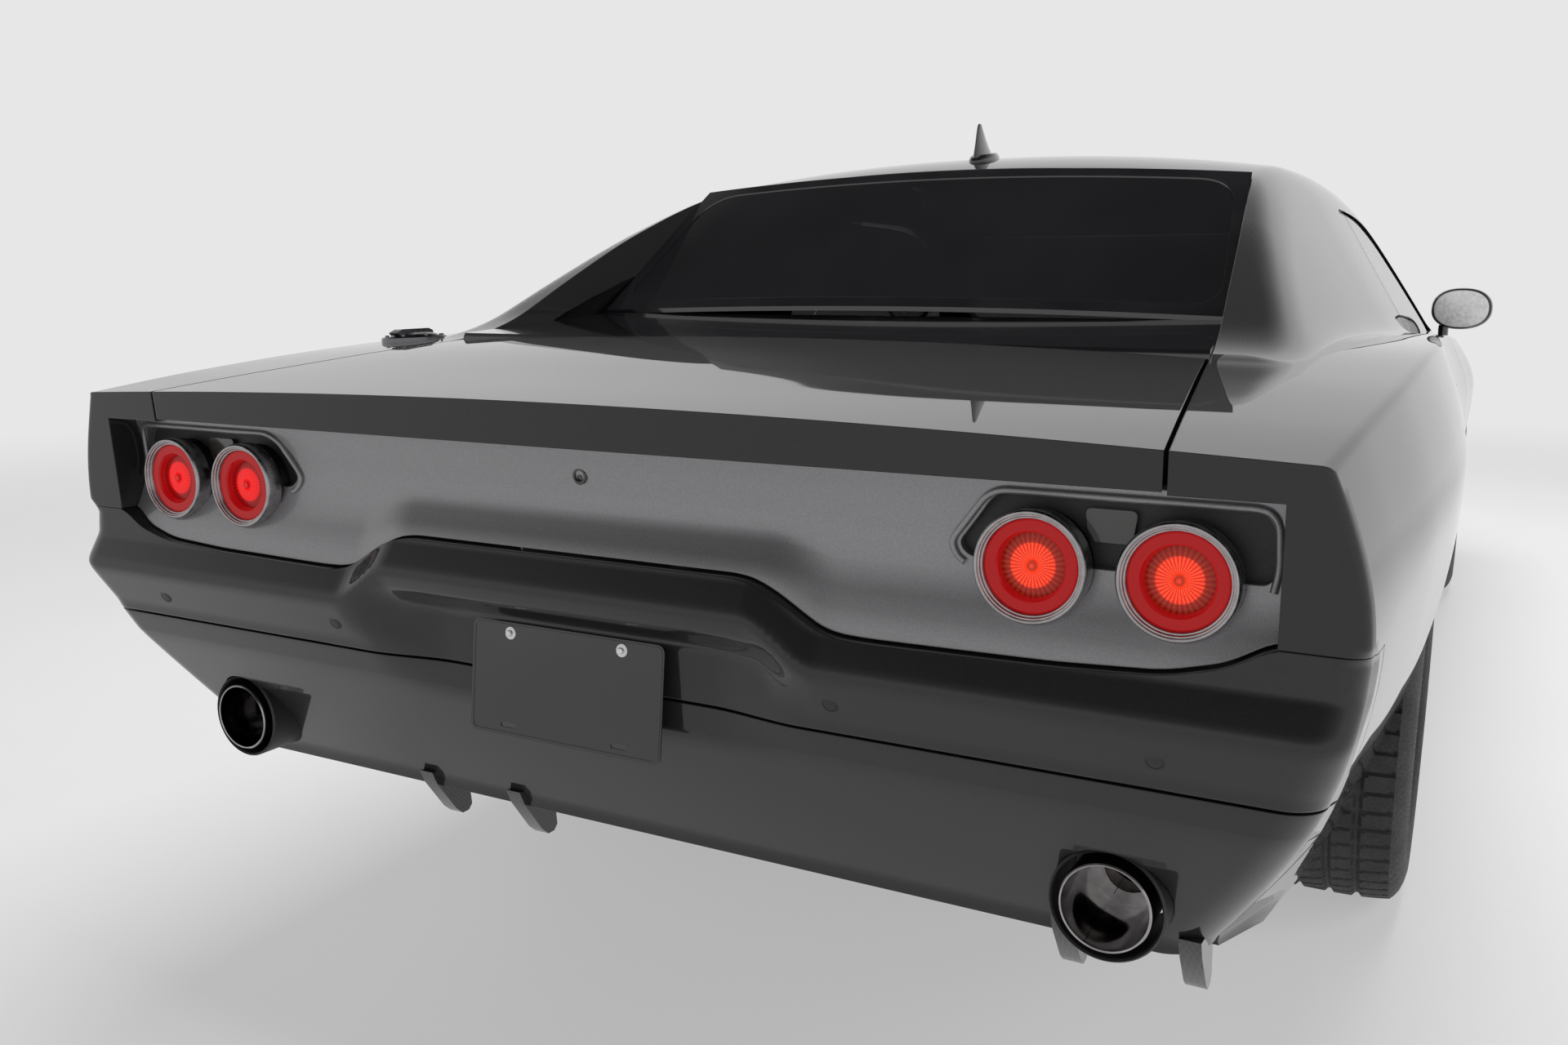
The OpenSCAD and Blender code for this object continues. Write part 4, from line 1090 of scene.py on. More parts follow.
def build_lamps():
    housings, bezels, rings, glows = [], [], [], {1: [], -1: []}
    for s in (1, -1):
        for x in (607, 761):
            c = (s * x, 0, 852)
            housings.append(lathe("housing", [(2500, 40), (2500, 56), (2566, 57.6), (2566, 40)], c, "Y", 96))
            bezels.append(lathe("bezel", [
                (2565, 50), (2565, 61), (2568, 63), (2587, 63), (2590, 62), (2591.6, 60.5), (2592, 59),
                (2591.5, 57.8), (2589.6, 57.2), (2589.4, 55.6), (2588.6, 55), (2586.6, 54.6), (2586.4, 53),
                (2585.4, 52.4), (2583, 51.8), (2576, 50)], c, "Y", 128))
            rings.append(lathe("ring", [(2566, 33), (2566, 51.6), (2582.5, 51.6), (2583.5, 50), (2583.5, 39),
                                        (2581, 37), (2574, 36)], c, "Y", 128))
            prof = [(2568, 0.3)] + [(2568, r) for r in (12, 24, 35.8)] + [(2573, 35.8)]
            prof += [(2573 + 3.5 * (1 - (r / 35.8) ** 2) - (1.5 if r < 9 and r > 6 else 0)
                      + (3.0 if r < 5 else 0), r) for r in (30, 24, 18, 13, 9, 8, 5.4, 4.8, 2.5, 0.3)]
            glow = lathe("glow", prof, c, "Y", 96)
            disc_uv(glow, s * x, 852, 36.0)
            glows[s].append(glow)
    finish(merge("lamp_bezels", bezels), "lamp_bezels", MATS["dark_metal"], "body",
           ["tail_lamps"])
    finish(merge("lamp_housings", housings), "lamp_housings", MATS["ribbed"], "body")
    finish(merge("lamp_rings", rings), "lamp_rings", MATS["red_ring"], "body", ["tail_lenses"])
    for s, name, mat in ((1, "lamp_glow_left", "lamp_red"), (-1, "lamp_glow_right", "lamp_orange")):
        a, b = glows[s]
        for o, tag in ((a, "inner"), (b, "outer")):
            finish(o, f"{name}_{tag}", MATS[mat], "body", weld=False)


def build_tips():
    tips, pipes = [], []
    for s in (1, -1):
        tips.append(lathe("tip", [(2370, 48), (2370, 52.5), (2540, 53), (2546, 52.6), (2548, 51.2),
                                  (2547, 49.4), (2540, 48.6), (2430, 48.6), (2430, 30), (2400, 30)],
                          (s * 694, 0, 466), "Y", 96))
    finish(merge("exhaust_tips", tips), "exhaust_tips", MATS["dark_chrome"], "body")
    for s in (1, -1):
        pipes.append(muffler(s))
        pipes.append(tube_along([[s * 640, 1762, 410], [s * 640, 1850, 410], [s * 640, 2004, 414]], 28, 24))
        pipes.append(across([[2150, 452], [2250, 452], [2250, 470], [2150, 470]],
                            min(s * 560.5, s * 602), max(s * 560.5, s * 602)))
    finish(merge("exhaust_run", pipes), "exhaust_run", MATS["exhaust_steel"], "body",
           ["exhaust"])


def muffler(s):
    rings = []
    for y, k in ((2001, 0.72), (2006, 0.9), (2016, 1.0), (2352, 1.0), (2363, 0.9), (2368, 0.72)):
        ring = []
        for a in np.linspace(0, 2 * math.pi, 48, endpoint=False):
            c, q = math.cos(a), math.sin(a)
            ring.append([s * 680 + 78 * k * math.copysign(abs(c) ** 0.6, c), y,
                         441 + 58 * k * math.copysign(abs(q) ** 0.7, q)])
        rings.append(ring)
    return loft("muffler", rings)


def build_plate():
    half_w, half_h = 152.5, 76.0
    out = rounded([[-half_w, -half_h], [half_w, -half_h], [half_w, half_h], [-half_w, half_h]], 12, 8)
    plate = through(out, -1.0, 1.0)
    slots = []
    for x, z in ((89, 62), (-89, 62)):
        slots.append(through(ring_points(x, z, 3.6, 20), -20, 20))
    for x in (89, -89):
        slots.append(through(rounded([[x - 12, -65], [x + 12, -65], [x + 12, -58], [x - 12, -58]], 3.2),
                             -20, 20))
    plate = cut(plate, *slots)
    rim_out = rounded([[-150, -73.5], [150, -73.5], [150, 73.5], [-150, 73.5]], 10, 8)
    rim_in = rounded([[-148, -71.5], [148, -71.5], [148, 71.5], [-148, 71.5]], 9, 8)
    bead = cut(through(rim_out, 0.5, 1.7), through(rim_in, 0, 3))
    screws = []
    for x in (89, -89):
        screws.append(lathe("screw", [(-6, 0.2), (-6, 3), (1, 3), (1.2, 7), (2.2, 7.2), (2.6, 6), (2.6, 4.6),
                                      (6, 4.4), (6.6, 3.6), (6.6, 0.2)], (x, 0, 62), "Y", 6))
        screws.append(lathe("washer", [(1.0, 3.2), (1.0, 8.6), (1.9, 8.4), (1.9, 3.2)], (x, 0, 62), "Y", 32))
    tilt = Matrix.Translation(Vector((0, 2.607, 0.633))) @ Matrix.Rotation(math.radians(5.7), 4, "X")
    plate = merge("plate", [plate, bead])
    bolts = merge("plate_screws", screws)
    for o in (plate, bolts):
        o.data.transform(tilt)
    finish(plate, "number_plate", MATS["plate_black"], "body", ["licence_plate"])
    finish(bolts, "plate_screws", MATS["bright"], "body")


def build_small_trim():
    # fuel cap, seated on the left quarter
    y0, x0 = 1980.0, 830.0
    z0 = float(lower_top(y0, x0, 0))
    tilt = math.atan((float(lower_top(y0, x0 - 30, 0)) - float(lower_top(y0, x0 + 30, 0))) / 60)
    ring = lathe("ring", [(-14, 40), (-14, 62), (3, 62), (6, 58.5), (6, 50), (4, 48)], (0, 0, 0), "Z", 96)
    dome = lathe("dome", [(-8, 0.3), (-8, 47), (5, 47), (9, 44), (12.5, 34), (13.5, 22), (13.5, 0.3)],
                 (0, 0, 0), "Z", 96)
    lever = across(rounded([[-40, 9], [52, 9], [56, 14], [40, 20], [-30, 21], [-42, 16]], 3), -11, 11)
    pieces = [ring, dome, lever]
    for i in range(8):
        a = math.pi / 4 * i + 0.39
        pieces.append(lathe("bolt", [(4, 0.2), (4, 4), (9, 3.8), (9.4, 3), (9.4, 0.2)],
                            (55 * math.cos(a), 55 * math.sin(a), 0), "Z", 12))
    cap = merge("fuel_cap_parts", pieces)
    cap.data.transform(Matrix.Translation(Vector((x0, y0, z0 + 1)) * 0.001) @ Matrix.Rotation(tilt, 4, "Y"))
    finish(cap, "filler_cap", MATS["cap_metal"], "body", ["fuel_cap"])
    # shark-fin aerial
    rings = []
    prof = [(0.0, 1012, 1134, 15), (0.2, 1026, 1131, 11), (0.4, 1048, 1128, 7.5), (0.6, 1066, 1125, 5.5),
            (0.8, 1082, 1121, 4), (0.93, 1092, 1117, 3.2), (1.0, 1099, 1112, 2.2)]
    for t, ya, yb, w in prof:
        zb = hermite(CABIN, 1070, 2) - 2 + t * (1500 - hermite(CABIN, 1070, 2))
        ring = []
        for a in np.linspace(0, 2 * math.pi, 32, endpoint=False):
            ring.append([w * math.sin(a), (ya + yb) / 2 + (yb - ya) / 2 * math.cos(a), zb])
        rings.append(ring)
    fin = loft("fin", rings)
    foot = []
    for k, h in ((1.0, -6), (1.0, 3), (0.94, 8), (0.78, 13)):
        foot.append([[27 * k * math.sin(a), 1071 + 66 * k * math.cos(a),
                      hermite(CABIN, 1071 + 66 * k * math.cos(a), 2) + h]
                     for a in np.linspace(0, 2 * math.pi, 48, endpoint=False)])
    finish(merge("aerial", [fin, loft("foot", foot)]), "roof_aerial", MATS["gloss_black"], "body",
           ["antenna_fin"])


def build_mirrors():
    def oval(k, y, sx=86, sz=64):
        return [[931 + sx * k * math.copysign(abs(math.cos(a)) ** 0.86, math.cos(a)), y,
                 1090 + sz * k * math.copysign(abs(math.sin(a)) ** 0.9, math.sin(a))]
                for a in np.linspace(0, 2 * math.pi, 64, endpoint=False)]
    head = loft("head", [oval(0.25, -806), oval(0.55, -800), oval(0.78, -788), oval(0.93, -768),
                         oval(1.0, -740), oval(0.99, -722), oval(0.955, -714), oval(0.9, -712),
                         oval(0.88, -716), oval(0.88, -724)])
    pane = loft("pane", [oval(0.875, -723.5), oval(0.875, -721), oval(0.6, -719.5), oval(0.2, -719)])
    stalk = loft("stalk", [[[888 + 15 * math.cos(a) + dx, -756 + 24 * math.sin(a) + dy, z]
                            for a in np.linspace(0, 2 * math.pi, 32, endpoint=False)]
                           for dx, dy, z in ((-4, 0, lower_top(-756, 880, 0) + 0.5), (-4, 0, 1036), (2, 2, 1046),
                                             (10, 4, 1058))])
    shellp = merge("mirror", [head, stalk])
    for side, sh, pn in (("left", shellp, pane), ("right", mirrored(shellp, "m"), mirrored(pane, "m"))):
        finish(sh, f"mirror_{side}_shell", MATS["gloss_black"], f"door_{side}",
               [f"mirror_{side}"])
        finish(pn, f"mirror_{side}_glass", MATS["bright"], f"door_{side}")


# ---- Nose ----
def build_nose():
    # upper header ahead of the hood, and the bumper
    header = keep(body_loft("header", -2625, -2500, step=10), nose_solid())
    header = keep(header, block((-711, -FAR, 810), (711, -2565, FAR)))
    header = cut(header, block((-680, -2586, 0), (680, FAR, 850)))
    bumper = keep(body_loft("bumper", -2639, -2300, step=12), nose_solid())
    bumper = keep(bumper, block((-FAR, -FAR, 200), (FAR, -2480.6, 618)))
    bumper = cut(bumper, block((-780, -2540, 0), (780, FAR, 900)),
                 through(rounded([[-520, 350], [520, 350], [560, 430], [-560, 430]], 24), -FAR, -2400))
    skin = merge("nose", [header, bumper])
    finish(skin, "front_bumper_skin", MATS["black_paint"], "body", ["front_bumper"])
    bars = [block((-705, -2548, 620), (705, -2536, 809))]
    for i in range(13):
        z = 634 + i * 14.0
        bars.append(across(rounded([[-2590, z - 2], [-2560, z - 3.2], [-2548.5, z - 3.2], [-2548.5, z + 3.2],
                                    [-2590, z + 2]], 1), -676, 676))
    for x in (-676, -400, 0, 400, 676):
        bars.append(block((x - 5, -2594, 621), (x + 5, -2548.4, 808)))
    finish(merge("grille_bars", bars), "grille_bars", MATS["black_trim"], "body", ["grille"])
    lower = []
    for z in (366, 390, 414):
        y = float(np.interp(z, NOSE_FACE[:, 0], NOSE_FACE[:, 1])) + 16
        lower.append(across([[y, z - 2], [y + 18, z - 3], [y + 18, z + 3], [y, z + 2]], -575, 575))
    lower.append(block((-590, -2539, 340), (590, -2535, 440)))
    finish(merge("lower_grille", lower), "lower_grille", MATS["black_trim"], "body")


# ---- Wheels ----
def build_wheels(p):
    tyres, rims = {}, {}
    for end, y, w in (("front", FRONT_Y, 275.0), ("rear", REAR_Y, 305.0)):
        tyres[end] = tyre_mesh(w)
        rims[end] = rim_mesh(w)
    for end, y, w in (("front", FRONT_Y, 275.0), ("rear", REAR_Y, 305.0)):
        for side, s in (("left", 1), ("right", -1)):
            for kind, src, mat, slot in (("tyre", tyres[end], "tyre", "tyre"), ("rim", rims[end], "rim", "rim")):
                o = src if s > 0 else mirrored(src, "w")
                if s > 0:
                    o = src.copy()
                    o.data = src.data.copy()
                    bpy.context.scene.collection.objects.link(o)
                x = s * (965.0 - w / 2)
                o.data.transform(Matrix.Translation(Vector((x, y, AXLE_Z)) * 0.001))
                finish(o, f"{kind}_{end}_{side}_cover" if kind == "tyre" else f"wheel_{end}_{side}",
                       MATS[mat], f"wheel_{end}_{side}", [f"{kind}_{end}_{side}"], 32, weld=False)
    for o in list(tyres.values()) + list(rims.values()):
        bpy.data.objects.remove(o)


def tyre_mesh(w):
    """Tyre about the X axis, with four grooves and curved sipes in its tread."""
    R, rim_r, h = 358.0, 254.0, w / 2
    side = [(-h + 17, rim_r + 0.4), (-h + 8, rim_r + 8), (-h + 1, rim_r + 26), (-h, rim_r + 44),
            (-h + 4, rim_r + 62), (-h + 10, rim_r + 78), (-h + 18, rim_r + 90)]
    tread_half = h - 24
    n_t = 45
    tread = []
    grooves = [-0.56, -0.2, 0.2, 0.56]
    for i in range(n_t):
        t = -1 + 2 * i / (n_t - 1)
        r = R - 8 * abs(t) ** 3
        depth = 0.0
        for g in grooves:
            if abs(t - g) < 0.036:
                depth = 7.0
        tread.append((t * tread_half, r - depth, t))
    outer = [(x, r, None) for x, r in side] + tread + [(-x, r, None) for x, r in side[::-1]]
    inner = [(h - 30, rim_r + 0.4, None), (-h + 30, rim_r + 0.4, None)]
    prof = outer + inner
    n_a = 540
    verts = []
    for k in range(n_a):
        a = 2 * math.pi * k / n_a
        for x, r, t in prof:
            rr = r
            if t is not None and abs(t) < 0.97 and not any(abs(t - g) < 0.036 for g in grooves):
                bend = 0.5 * math.sin(t * 2.6) if abs(t) < 0.6 else 0.32 * math.copysign(1, t) + 0.25 * t
                phase = (k / n_a * 60 + bend * 1.4) % 1.0
                if phase < 0.12:
                    rr -= 4.5
            elif t is None and r > rim_r + 70:
                phase = (k / n_a * 60 + 0.3) % 1.0
                if phase < 0.12:
                    rr -= 1.6
            verts.append([x, rr * math.sin(a), rr * math.cos(a)])
    m = len(prof)
    faces = [(k * m + j, k * m + (j + 1) % m, ((k + 1) % n_a) * m + (j + 1) % m, ((k + 1) % n_a) * m + j)
             for k in range(n_a) for j in range(m)]
    return to_object("tyre_src", verts, faces)


def rim_mesh(w):
    """Five-spoke wheel about the X axis. +X is its outer face."""
    h = w / 2
    barrel = lathe("barrel", [(-h + 17, 236), (-h + 17, 253.4), (h - 17, 253.4), (h - 15, 250), (h - 16, 246),
                              (h - 30, 240), (h - 60, 234), (-h + 60, 232), (-h + 30, 236)], (0, 0, 0), "X", 128)
    parts = []
    spokes = []
    for i in range(5):
        a = 2 * math.pi * i / 5
        rings = []
        for r, half, x_top, deep in ((58, 36, h - 52, 36), (90, 30, h - 46, 34), (140, 25, h - 38, 30),
                                     (190, 26, h - 30, 26), (226, 34, h - 24, 24), (243, 44, h - 24, 24)):
            pts = []
            for u, v in ((-1, -1), (-1, -0.15), (-0.82, 0.25), (-0.55, 0.42), (-0.3, 0.1), (0, -0.05),
                         (0.3, 0.1), (0.55, 0.42), (0.82, 0.25), (1, -0.15), (1, -1)):
                x = x_top + v * 9 if v > -1 else x_top - deep
                t = u * half
                pts.append([x, r * math.sin(a) + t * math.cos(a), r * math.cos(a) - t * math.sin(a)])
            rings.append(pts)
        spokes.append(loft("spoke", rings))
    hub = lathe("hub", [(10, 33), (10, 86), (h - 66, 86), (h - 52, 78), (h - 44, 66), (h - 42, 40), (h - 40, 36),
                        (h - 34, 33), (h - 32, 26), (h - 31, 0.5), (h - 70, 0.5), (h - 70, 33)], (0, 0, 0), "X", 96)
    disc = lathe("disc", [(12, 84), (12, 178), (38, 178), (38, 84)], (0, 0, 0), "X", 128)
    solid = join_solid(barrel, *spokes)
    parts = [solid, hub, disc]
    for i in range(5):
        a = 2 * math.pi * (i + 0.5) / 5
        parts.append(lathe("nut", [(h - 60, 0.4), (h - 60, 11), (h - 40, 10.6), (h - 34, 8), (h - 33, 0.4)],
                           (0, 57 * math.sin(a), 57 * math.cos(a)), "X", 6))
    return merge("rim_src", parts)


# ---- Underside and running gear ----
def build_running_gear():
    """The frame's own solids stay for these, and get their finishes here."""
    for node, mat in (("floor_pan", "chassis"), ("front_subframe", "chassis"), ("rear_subframe", "chassis"),
                      ("knuckle_left", "cast"), ("knuckle_right", "cast"), ("powertrain", "engine"),
                      ("dashboard", "black_trim")):
        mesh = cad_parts[node].data
        for i in range(max(len(mesh.materials), 1)):
            if len(mesh.materials) <= i:
                mesh.materials.append(MATS[mat])
            else:
                mesh.materials[i] = MATS[mat]


# ---- Cabin ----
def soft_block(name, lo, hi):
    """Rounded box with bulging faces, subdivided evenly."""
    bm = bmesh.new()
    bmesh.ops.create_cube(bm, size=1.0)
    bmesh.ops.subdivide_edges(bm, edges=bm.edges, cuts=9, use_grid_fill=True)
    lo, hi = np.array(lo, float), np.array(hi, float)
    mid, half = (lo + hi) / 2, (hi - lo) / 2
    for v in bm.verts:
        c = np.array(v.co) * 2
        k = [1 - 0.5 * (0.34 * c[(a + 1) % 3] ** 6 + 0.34 * c[(a + 2) % 3] ** 6) for a in range(3)]
        q = c * np.array([1 - (1 - k[0]) * min(1, 0.25 * half.min() / half[0] * 4),
                          1 - (1 - k[1]) * min(1, 0.25 * half.min() / half[1] * 4),
                          1 - (1 - k[2]) * min(1, 0.25 * half.min() / half[2] * 4)])
        v.co = Vector((mid + q * half) * 0.001)
    mesh = bpy.data.meshes.new(name)
    bm.to_mesh(mesh)
    bm.free()
    obj = bpy.data.objects.new(name, mesh)
    bpy.context.scene.collection.objects.link(obj)
    return obj


def puff(obj, cap):
    """Swells a pad with cloth pressure, applies it, and limits how far a point moves."""
    scene = bpy.context.scene
    re = obj.modifiers.new("remesh", "REMESH")
    re.mode = "VOXEL"
    re.voxel_size = 0.014
    graph = bpy.context.evaluated_depsgraph_get()
    mesh = bpy.data.meshes.new_from_object(obj.evaluated_get(graph))
    obj.modifiers.clear()
    obj.data = mesh
    before = np.array([v.co[:] for v in mesh.vertices])
    mod = obj.modifiers.new("cloth", "CLOTH")
    mod.settings.use_pressure = True
    mod.settings.uniform_pressure_force = 4.0
    mod.settings.effector_weights.gravity = 0.0
    mod.settings.quality = 3
    mod.point_cache.frame_start, mod.point_cache.frame_end = 1, 20
    for f in range(1, 21):
        scene.frame_set(f)
    graph = bpy.context.evaluated_depsgraph_get()
    out = bpy.data.meshes.new_from_object(obj.evaluated_get(graph))
    obj.modifiers.clear()
    after = np.array([v.co[:] for v in out.vertices])
    scene.frame_set(1)
    move = after - before
    length = np.linalg.norm(move, axis=1, keepdims=True)
    move = move * np.minimum(1, cap * 0.001 / np.maximum(length, 1e-9))
    for v, b, d in zip(out.vertices, before, move):
        v.co = Vector(b + d)
    obj.data = out
    return obj


def sew(obj, axis, lines, depth=5.0, width=9.0):
    """Presses sewn channels into a pad, across the given axis."""
    for v in obj.data.vertices:
        c = v.co[axis] * 1000
        for line in lines:
            d = abs(c - line)
            if d < width * 2.2:
                n = v.normal
                v.co -= n * depth * 0.001 * math.exp(-(d / width) ** 2)
    return obj


def pad(name, lo, hi, axis, lines, cap=22.0, inset=14.0):
    lo, hi = np.array(lo, float) + inset, np.array(hi, float) - inset
    obj = puff(soft_block(name, lo, hi), cap)
    sub = obj.modifiers.new("smooth", "SUBSURF")
    sub.levels = sub.render_levels = 1
    graph = bpy.context.evaluated_depsgraph_get()
    mesh = bpy.data.meshes.new_from_object(obj.evaluated_get(graph))
    obj.modifiers.clear()
    obj.data = mesh
    # stay inside the space the frame holds for the seat
    for v in mesh.vertices:
        v.co = Vector([min(max(c, a), b) for c, a, b in
                       zip(v.co, (lo - inset) * 0.001, (hi + inset) * 0.001)])
    return sew(obj, axis, lines)


def build_seats():
    made = []
    cushion = pad("cushion", (138, -360, 300), (618, 168, 460), 1, [-270, -190, -110, -30, 50])
    back = pad("back", (138, 172, 300), (618, 290, 905), 2, [470, 560, 650, 740])
    head = pad("head", (258, 182, 912), (498, 280, 1038), 2, [], 10.0)
    bolsters = [pad("bolster", (x, -350, 300), (x + 70, 160, 476 - 18), 1, [], 10.0) for x in (138, 548)]
    for o in (cushion, back, head):
        made += [o, mirrored(o, o.name + "_r")]
    for o in bolsters:
        bpy.data.objects.remove(o)
    bench = pad("bench", (-560, 560, 432), (560, 898, 500), 0, [-280, 0, 280], 10.0, 8.0)
    squab = pad("squab", (-560, 902, 482), (560, 990, 988), 0, [-280, 0, 280], 14.0, 10.0)
    made += [bench, squab]
    for i, o in enumerate(made):
        finish(o, f"seat_pad_{i}", MATS["seat_leather"], "body", ["seats"], 60, weld=False)
    frames = []
    for s in (1, -1):
        x0, x1 = sorted((s * 160, s * 596))
        frames.append(block((x0, -340, 228.3), (x1, 150, 312)))
        frames.append(block((x0, 176, 228.3), (x1, 286, 312)))
        for x in (330, 426):
            a, b = sorted((s * x - 7, s * x + 7))
            frames.append(block((a, 226, 880), (b, 240, 940)))
    finish(merge("seat_frames", frames), "seat_frames", MATS["black_trim"], "body")
    wheel = []
    tilt = Matrix.Translation(Vector((0.378, -0.520, 0.850))) @ Matrix.Rotation(math.radians(-65), 4, "X")
    rim = [(14.5 * math.sin(a), 170 + 14.5 * math.cos(a))
           for a in np.linspace(0, 2 * math.pi, 20, endpoint=False)]
    wheel.append(lathe("rim", rim, (0, 0, 0), "Z", 96))
    wheel.append(lathe("boss", [(-18, 0.5), (-18, 40), (6, 52), (16, 46), (19, 30), (19, 0.5)],
                       (0, 0, 0), "Z", 64))
    for a in (-0.15, math.pi + 0.15, -math.pi / 2):
        ring = []
        for r, hw, t in ((44, 17, 7), (100, 12, 5), (160, 13, 5)):
            ca, sa = math.cos(a), math.sin(a)
            ring.append([[r * ca - u * sa, r * sa + u * ca, v] for u, v in
                         ((-hw, -t), (hw, -t), (hw + 1, 0), (hw, t), (-hw, t), (-hw - 1, 0))])
        wheel.append(loft("spoke", ring))
    obj = merge("wheel", wheel)
    obj.data.transform(tilt)
    col = lathe("column", [(-200, 0.5), (-200, 26), (-30, 24), (-14, 24), (-14, 0.5)], (0, 0, 0), "Z", 48)
    col.data.transform(tilt)
    col = keep(col, block((0, -659.6, 500), (900, 0, 1200)))
    obj = merge("steering", [obj, col])
    finish(obj, "steering_rim", MATS["seat_leather"], "body", ["steering_wheel"])


# ---- Stage, light and camera ----
def build_stage(p):
    scene = bpy.context.scene
    rings = [0.0, 3, 6, 9, 12, 16, 22, 30, 45, 80]
    verts, faces = [(0, 0, 0)], []
    n = 64
    for r in rings[1:]:
        for i in range(n):
            a = 2 * math.pi * i / n
            verts.append((r * math.cos(a), r * math.sin(a), 0))
    for i in range(n):
        faces.append((0, 1 + i, 1 + (i + 1) % n))
    for k in range(len(rings) - 2):
        for i in range(n):
            a, b = 1 + k * n + i, 1 + k * n + (i + 1) % n
            faces.append((a, a + n, b + n, b))
    mesh = bpy.data.meshes.new("floor")
    mesh.from_pydata(verts, [], faces)
    floor = bpy.data.objects.new("floor", mesh)
    scene.collection.objects.link(floor)
    n = Nodes("studio_floor")
    tree = n.tree
    n.link(n.ramp(n.noise(0.7, 3.0), (0.80, 0.80, 0.80, 1), (0.84, 0.84, 0.838, 1)),
           n.bsdf.inputs["Base Color"])
    n.set(Roughness=0.5)
    glow = n.add("ShaderNodeEmission")
    glow.inputs["Color"].default_value = (*p.backdrop_colour, 1)
    glow.inputs["Strength"].default_value = 1.0
    length = n.add("ShaderNodeVectorMath", operation="LENGTH")
    n.link(n.coords.outputs["Object"], length.inputs[0])
    span = n.add("ShaderNodeMapRange", interpolation_type="SMOOTHSTEP")
    span.inputs["From Min"].default_value = 3.2
    span.inputs["From Max"].default_value = 10.0
    span.inputs["To Min"].default_value = 0.5
    n.link(length.outputs["Value"], span.inputs["Value"])
    mix = n.add("ShaderNodeMixShader")
    n.link(span.outputs["Result"], mix.inputs[0])
    n.link(n.bsdf.outputs[0], mix.inputs[1])
    n.link(glow.outputs[0], mix.inputs[2])
    out = tree.nodes["Material Output"]
    n.link(mix.outputs[0], out.inputs["Surface"])
    mesh.materials.append(n.mat)

    world = bpy.data.worlds.new("studio")
    scene.world = world
    world.use_nodes = True
    wt = world.node_tree
    bg = wt.nodes["Background"]
    coords = wt.nodes.new("ShaderNodeTexCoord")
    sep = wt.nodes.new("ShaderNodeSeparateXYZ")
    wt.links.new(coords.outputs["Generated"], sep.inputs["Vector"])

    def curve(source, stops):
        ramp = wt.nodes.new("ShaderNodeValToRGB")
        el = ramp.color_ramp.elements
        el[0].position, el[0].color = stops[0][0], (stops[0][1],) * 3 + (1,)
        el[1].position, el[1].color = stops[-1][0], (stops[-1][1],) * 3 + (1,)
        for at, v in stops[1:-1]:
            e = el.new(at)
            e.color = (v, v, v, 1)
        half = wt.nodes.new("ShaderNodeMath")
        half.operation = "MULTIPLY_ADD"
        half.inputs[1].default_value = 0.5
        half.inputs[2].default_value = 0.5
        wt.links.new(source, half.inputs[0])
        wt.links.new(half.outputs[0], ramp.inputs["Fac"])
        return ramp.outputs["Color"]

    # pale cove all round, a dark ceiling above it
    cove = curve(sep.outputs["Z"], [(0.0, 1.0), (0.69, 1.0), (0.8, 0.35), (0.88, 0.04), (1.0, 0.03)])
    tint = wt.nodes.new("ShaderNodeMix")
    tint.data_type = "RGBA"
    tint.blend_type = "MULTIPLY"
    tint.inputs["Factor"].default_value = 1.0
    tint.inputs["A"].default_value = (*p.backdrop_colour, 1)
    wt.links.new(cove, tint.inputs["B"])
    wt.links.new(tint.outputs["Result"], bg.inputs["Color"])
    bg.inputs["Strength"].default_value = 1.0

    def area(name, place, target, size, power):
        data = bpy.data.lights.new(name, "AREA")
        data.shape = "RECTANGLE"
        data.size, data.size_y = size
        data.energy = power
        lamp = bpy.data.objects.new(name, data)
        scene.collection.objects.link(lamp)
        lamp.location = place
        lamp.rotation_euler = (Vector(target) - Vector(place)).to_track_quat("-Z", "Y").to_euler()
        lamp.visible_glossy = False
        return lamp

    area("overhead", (0, -0.6, 5.2), (0, -0.6, 0), (4.0, 7.0), p.key_power)
    area("right_side", (-6.5, 1.0, 3.4), (0, 0.6, 0.6), (2.5, 5.0), p.key_power * 0.35)

    cam_data = bpy.data.cameras.new("camera")
    cam_data.lens = 30.05
    cam_data.sensor_width = 36.0
    cam_data.clip_end = 300
    cam = bpy.data.objects.new("camera", cam_data)
    scene.collection.objects.link(cam)
    f = Vector((0.46424, -0.86830, -0.17476)).normalized()
    r = f.cross(Vector((0.08450, -0.15299, 0.98461))).normalized()
    u = r.cross(f)
    m = Matrix((r, u, -f)).transposed().to_4x4()
    m.translation = Vector((-1.01867, 3.90961, 1.14128))
    cam.matrix_world = m
    scene.camera = cam
    scene.view_settings.view_transform = "Standard"


# ---- Add-on ----
class CAR_PG_settings(bpy.types.PropertyGroup):
    paint_colour: FloatVectorProperty(
        name="Paint colour", description="Colour under the clear coat of the body panels",
        subtype="COLOR", size=3, min=0.0, max=1.0, default=(0.016, 0.016, 0.0165))
    panel_colour: FloatVectorProperty(
        name="Tail panel colour", description="Metallic colour of the panel between the tail lamps",
        subtype="COLOR", size=3, min=0.0, max=1.0, default=(0.22, 0.217, 0.225))
    backdrop_colour: FloatVectorProperty(
        name="Backdrop colour", description="Colour of the studio behind the car",
        subtype="COLOR", size=3, min=0.0, max=1.0, default=(0.80, 0.80, 0.80))
    key_power: FloatProperty(
        name="Key light power", description="Power of the overhead soft light in watts",
        default=420.0, min=0.0, max=5000.0)


class CarOperator:
    bl_options = {"REGISTER", "UNDO"}

    def execute(self, context):
        self.make(context.scene.car_settings)
        return {"FINISHED"}


class CAR_OT_materials(CarOperator, bpy.types.Operator):
    """Make the procedural materials"""
    bl_idname = "car.materials"
    bl_label = "Materials"

    def make(self, p):
        make_materials(p)


